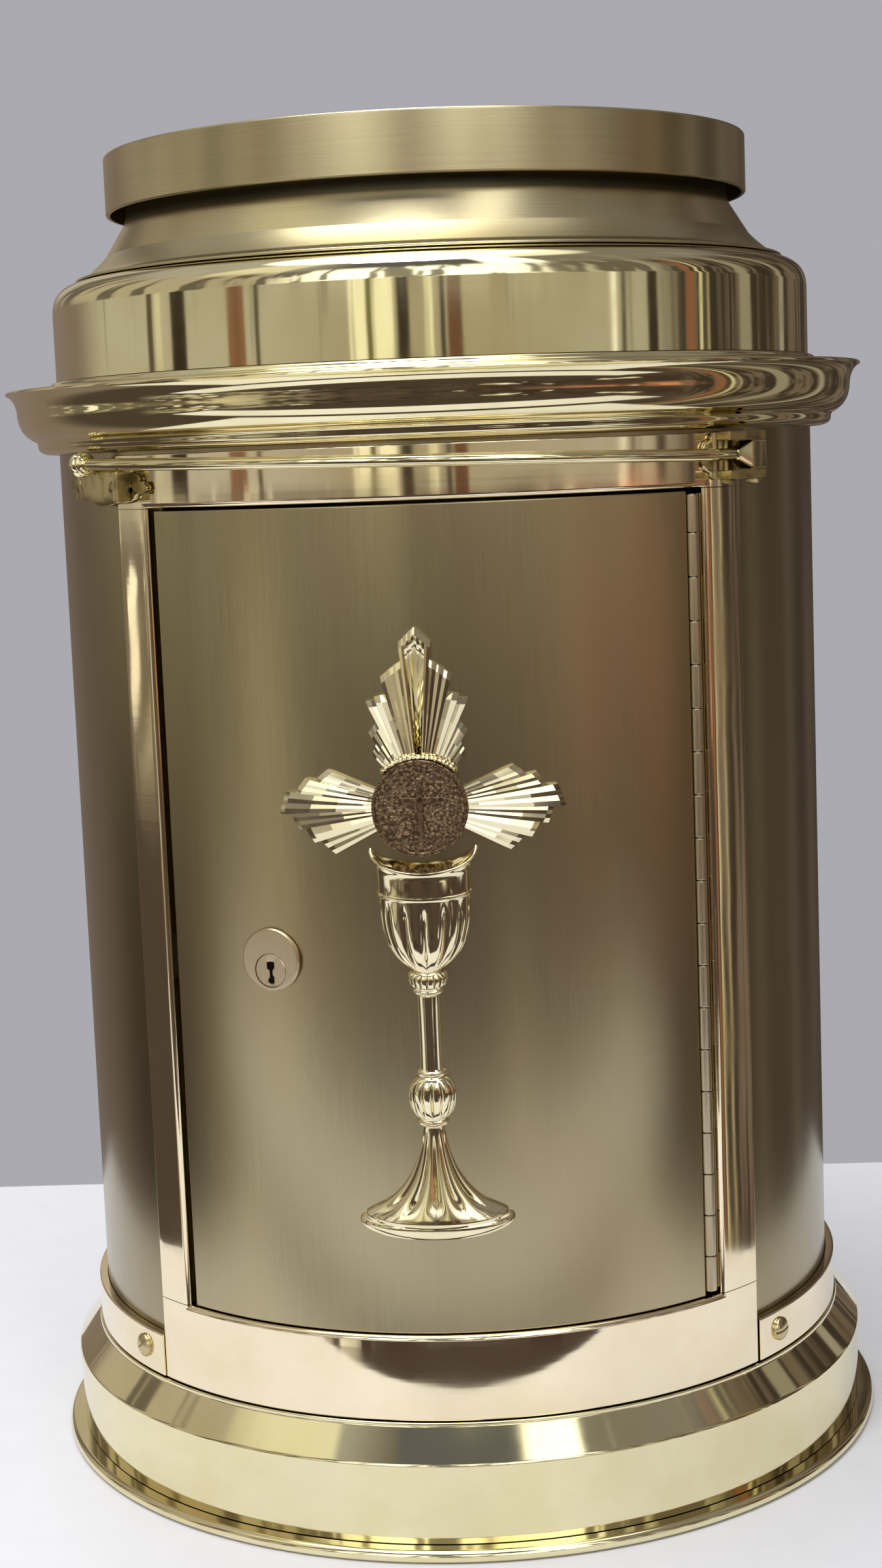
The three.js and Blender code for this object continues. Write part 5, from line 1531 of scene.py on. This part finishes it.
def bar_block(left, right, inner, outer, bottom, top, azimuth, ease):
    """Eased block in the frame of an azimuth: across, outwards and up."""
    shape = brick((left, -outer, bottom), (right, -inner, top))
    return turned(eased(shape, shape.edges[:], ease), azimuth, "Z")


# %% Left bracket
LEFT_LEAF = {"width": 50, "height": 13.6, "lobes": 8, "depth": 0.12, "swell": 0.3, "tilt": 0.4}
LEFT_LEAF_SHIFT = 2.45
LEFT_LEAF_DROP = 11.6
SADDLE_SHIFT = 3.75
POST_HALF, POST_DROP, POST_EASE = 1.6, 5.6, 0.8
POST_START = 0.5
CURL_SIZE = (2.6, 1.4, 3.4, 1)
CURL_SHIFT, CURL_RISE, CURL_SUNK = 7.2, 1.2, 0.2
left_azimuth = -frame_half_span - LEFT_LEAF_SHIFT
left_height = frame_top - LEFT_LEAF_DROP
saddle_azimuth = SADDLE_SHIFT - frame_half_span
saddle_top = rod_height(saddle_azimuth) - ROD / 2 - FIT
left_leaf = shifted(lobed_plate(**LEFT_LEAF), (0, 0, left_height))
wrapped(left_leaf, plate_inner, left_azimuth, column=1)
post = bar_block(-POST_HALF, POST_HALF, plate_inner + POST_START, rod_radius + ROD / 2,
                 left_height - POST_DROP, saddle_top, saddle_azimuth, POST_EASE)
curl = bmesh.new()
bmesh.ops.create_uvsphere(curl, u_segments=24, v_segments=16, radius=1, matrix=Matrix.Diagonal(CURL_SIZE))
shifted(curl, (0, 0, left_height + CURL_RISE))
upright_at(curl, left_azimuth - CURL_SHIFT, plate_outer - CURL_SUNK)
piece("leaf_bracket_left", joined(left_leaf, post, curl), "root", cast_brass, "rod_bracket_left", sharp=50)

# %% Right bracket
RIGHT_LEAF_SHIFT = 4.55
RIGHT_LEAF_WIDTH = 17.6
EAR = 3.1
EAR_LEFT, EAR_REACH, EAR_SHORT, EAR_EASE = 3.5, 3.4, 0.8, 0.45
RIB_SHORT = 0.6
# Place across and radius of each rib on the leaf
RIBS = ((-3.4, 1.2), (-0.6, 1.5), (2.4, 1.2))
right_azimuth = frame_half_span - RIGHT_LEAF_SHIFT
ear_inner = BLOCK_HEIGHT / 2 + FIT
ear_outer = ear_inner + EAR
ear_right = radians(pivot_azimuth - right_azimuth) * rod_radius + BLOCK_LENGTH / 2 - EAR_SHORT
right_leaf = lobed_plate(RIGHT_LEAF_WIDTH, 2 * ear_outer * 0.98, lobes=7, depth=0.14, swell=0.4)
shifted(right_leaf, (0, 0, pivot_height))
parts = [wrapped(right_leaf, plate_inner, right_azimuth, column=1)]
for lower, upper in ((-ear_outer, -ear_inner), (ear_inner, ear_outer)):
    parts.append(bar_block(-EAR_LEFT, ear_right, plate_inner + POST_START, rod_radius + EAR_REACH,
                           pivot_height + lower, pivot_height + upper, right_azimuth, EAR_EASE))
for place, radius in RIBS:
    rib = shifted(cylinder(radius, 2 * ear_outer - RIB_SHORT, 20), (place, -plate_outer, pivot_height))
    parts.append(turned(rib, right_azimuth, "Z"))
piece("leaf_bracket_right", joined(*parts), "root", cast_brass, "rod_bracket_right", sharp=50)

# %% Pin and bracket screws
pin_top = 2 * ear_outer + FIT
pin_outline = [(0, -1.9), (1.9, -1.7), (2.9, -1.0), (3.25, -0.2), (3.25, 0.0), (1.7, 0.05),
               (1.7, pin_top), (0, pin_top)]
pin = shifted(spun(pin_outline, steps=40), (0, 0, pivot_height - ear_outer - FIT))
piece("rod_pin", upright_at(pin, pivot_azimuth, rod_radius), "root", cast_brass, "veil_rod_pin")

LEAF_SCREW_HEAD = 4.6
LEAF_SCREW_RISE = 1.5
LEAF_SCREW_SHIFT = 0.35
# Azimuth, height and lean of the slot
LEAF_SCREWS = {"left": (LEAF_SCREW_SHIFT - frame_half_span, left_height, 70),
               "right": (right_azimuth, pivot_height, 20)}
for name, (azimuth, height, lean) in LEAF_SCREWS.items():
    screw = slotted_screw(LEAF_SCREW_HEAD, LEAF_SCREW_RISE, lean)
    facing_out(shifted(screw, (0, 0, plate_outer + 0.2)), azimuth, height)
    piece(f"leaf_screw_{name}", screw, "root", cast_brass, f"bracket_screw_{name}")
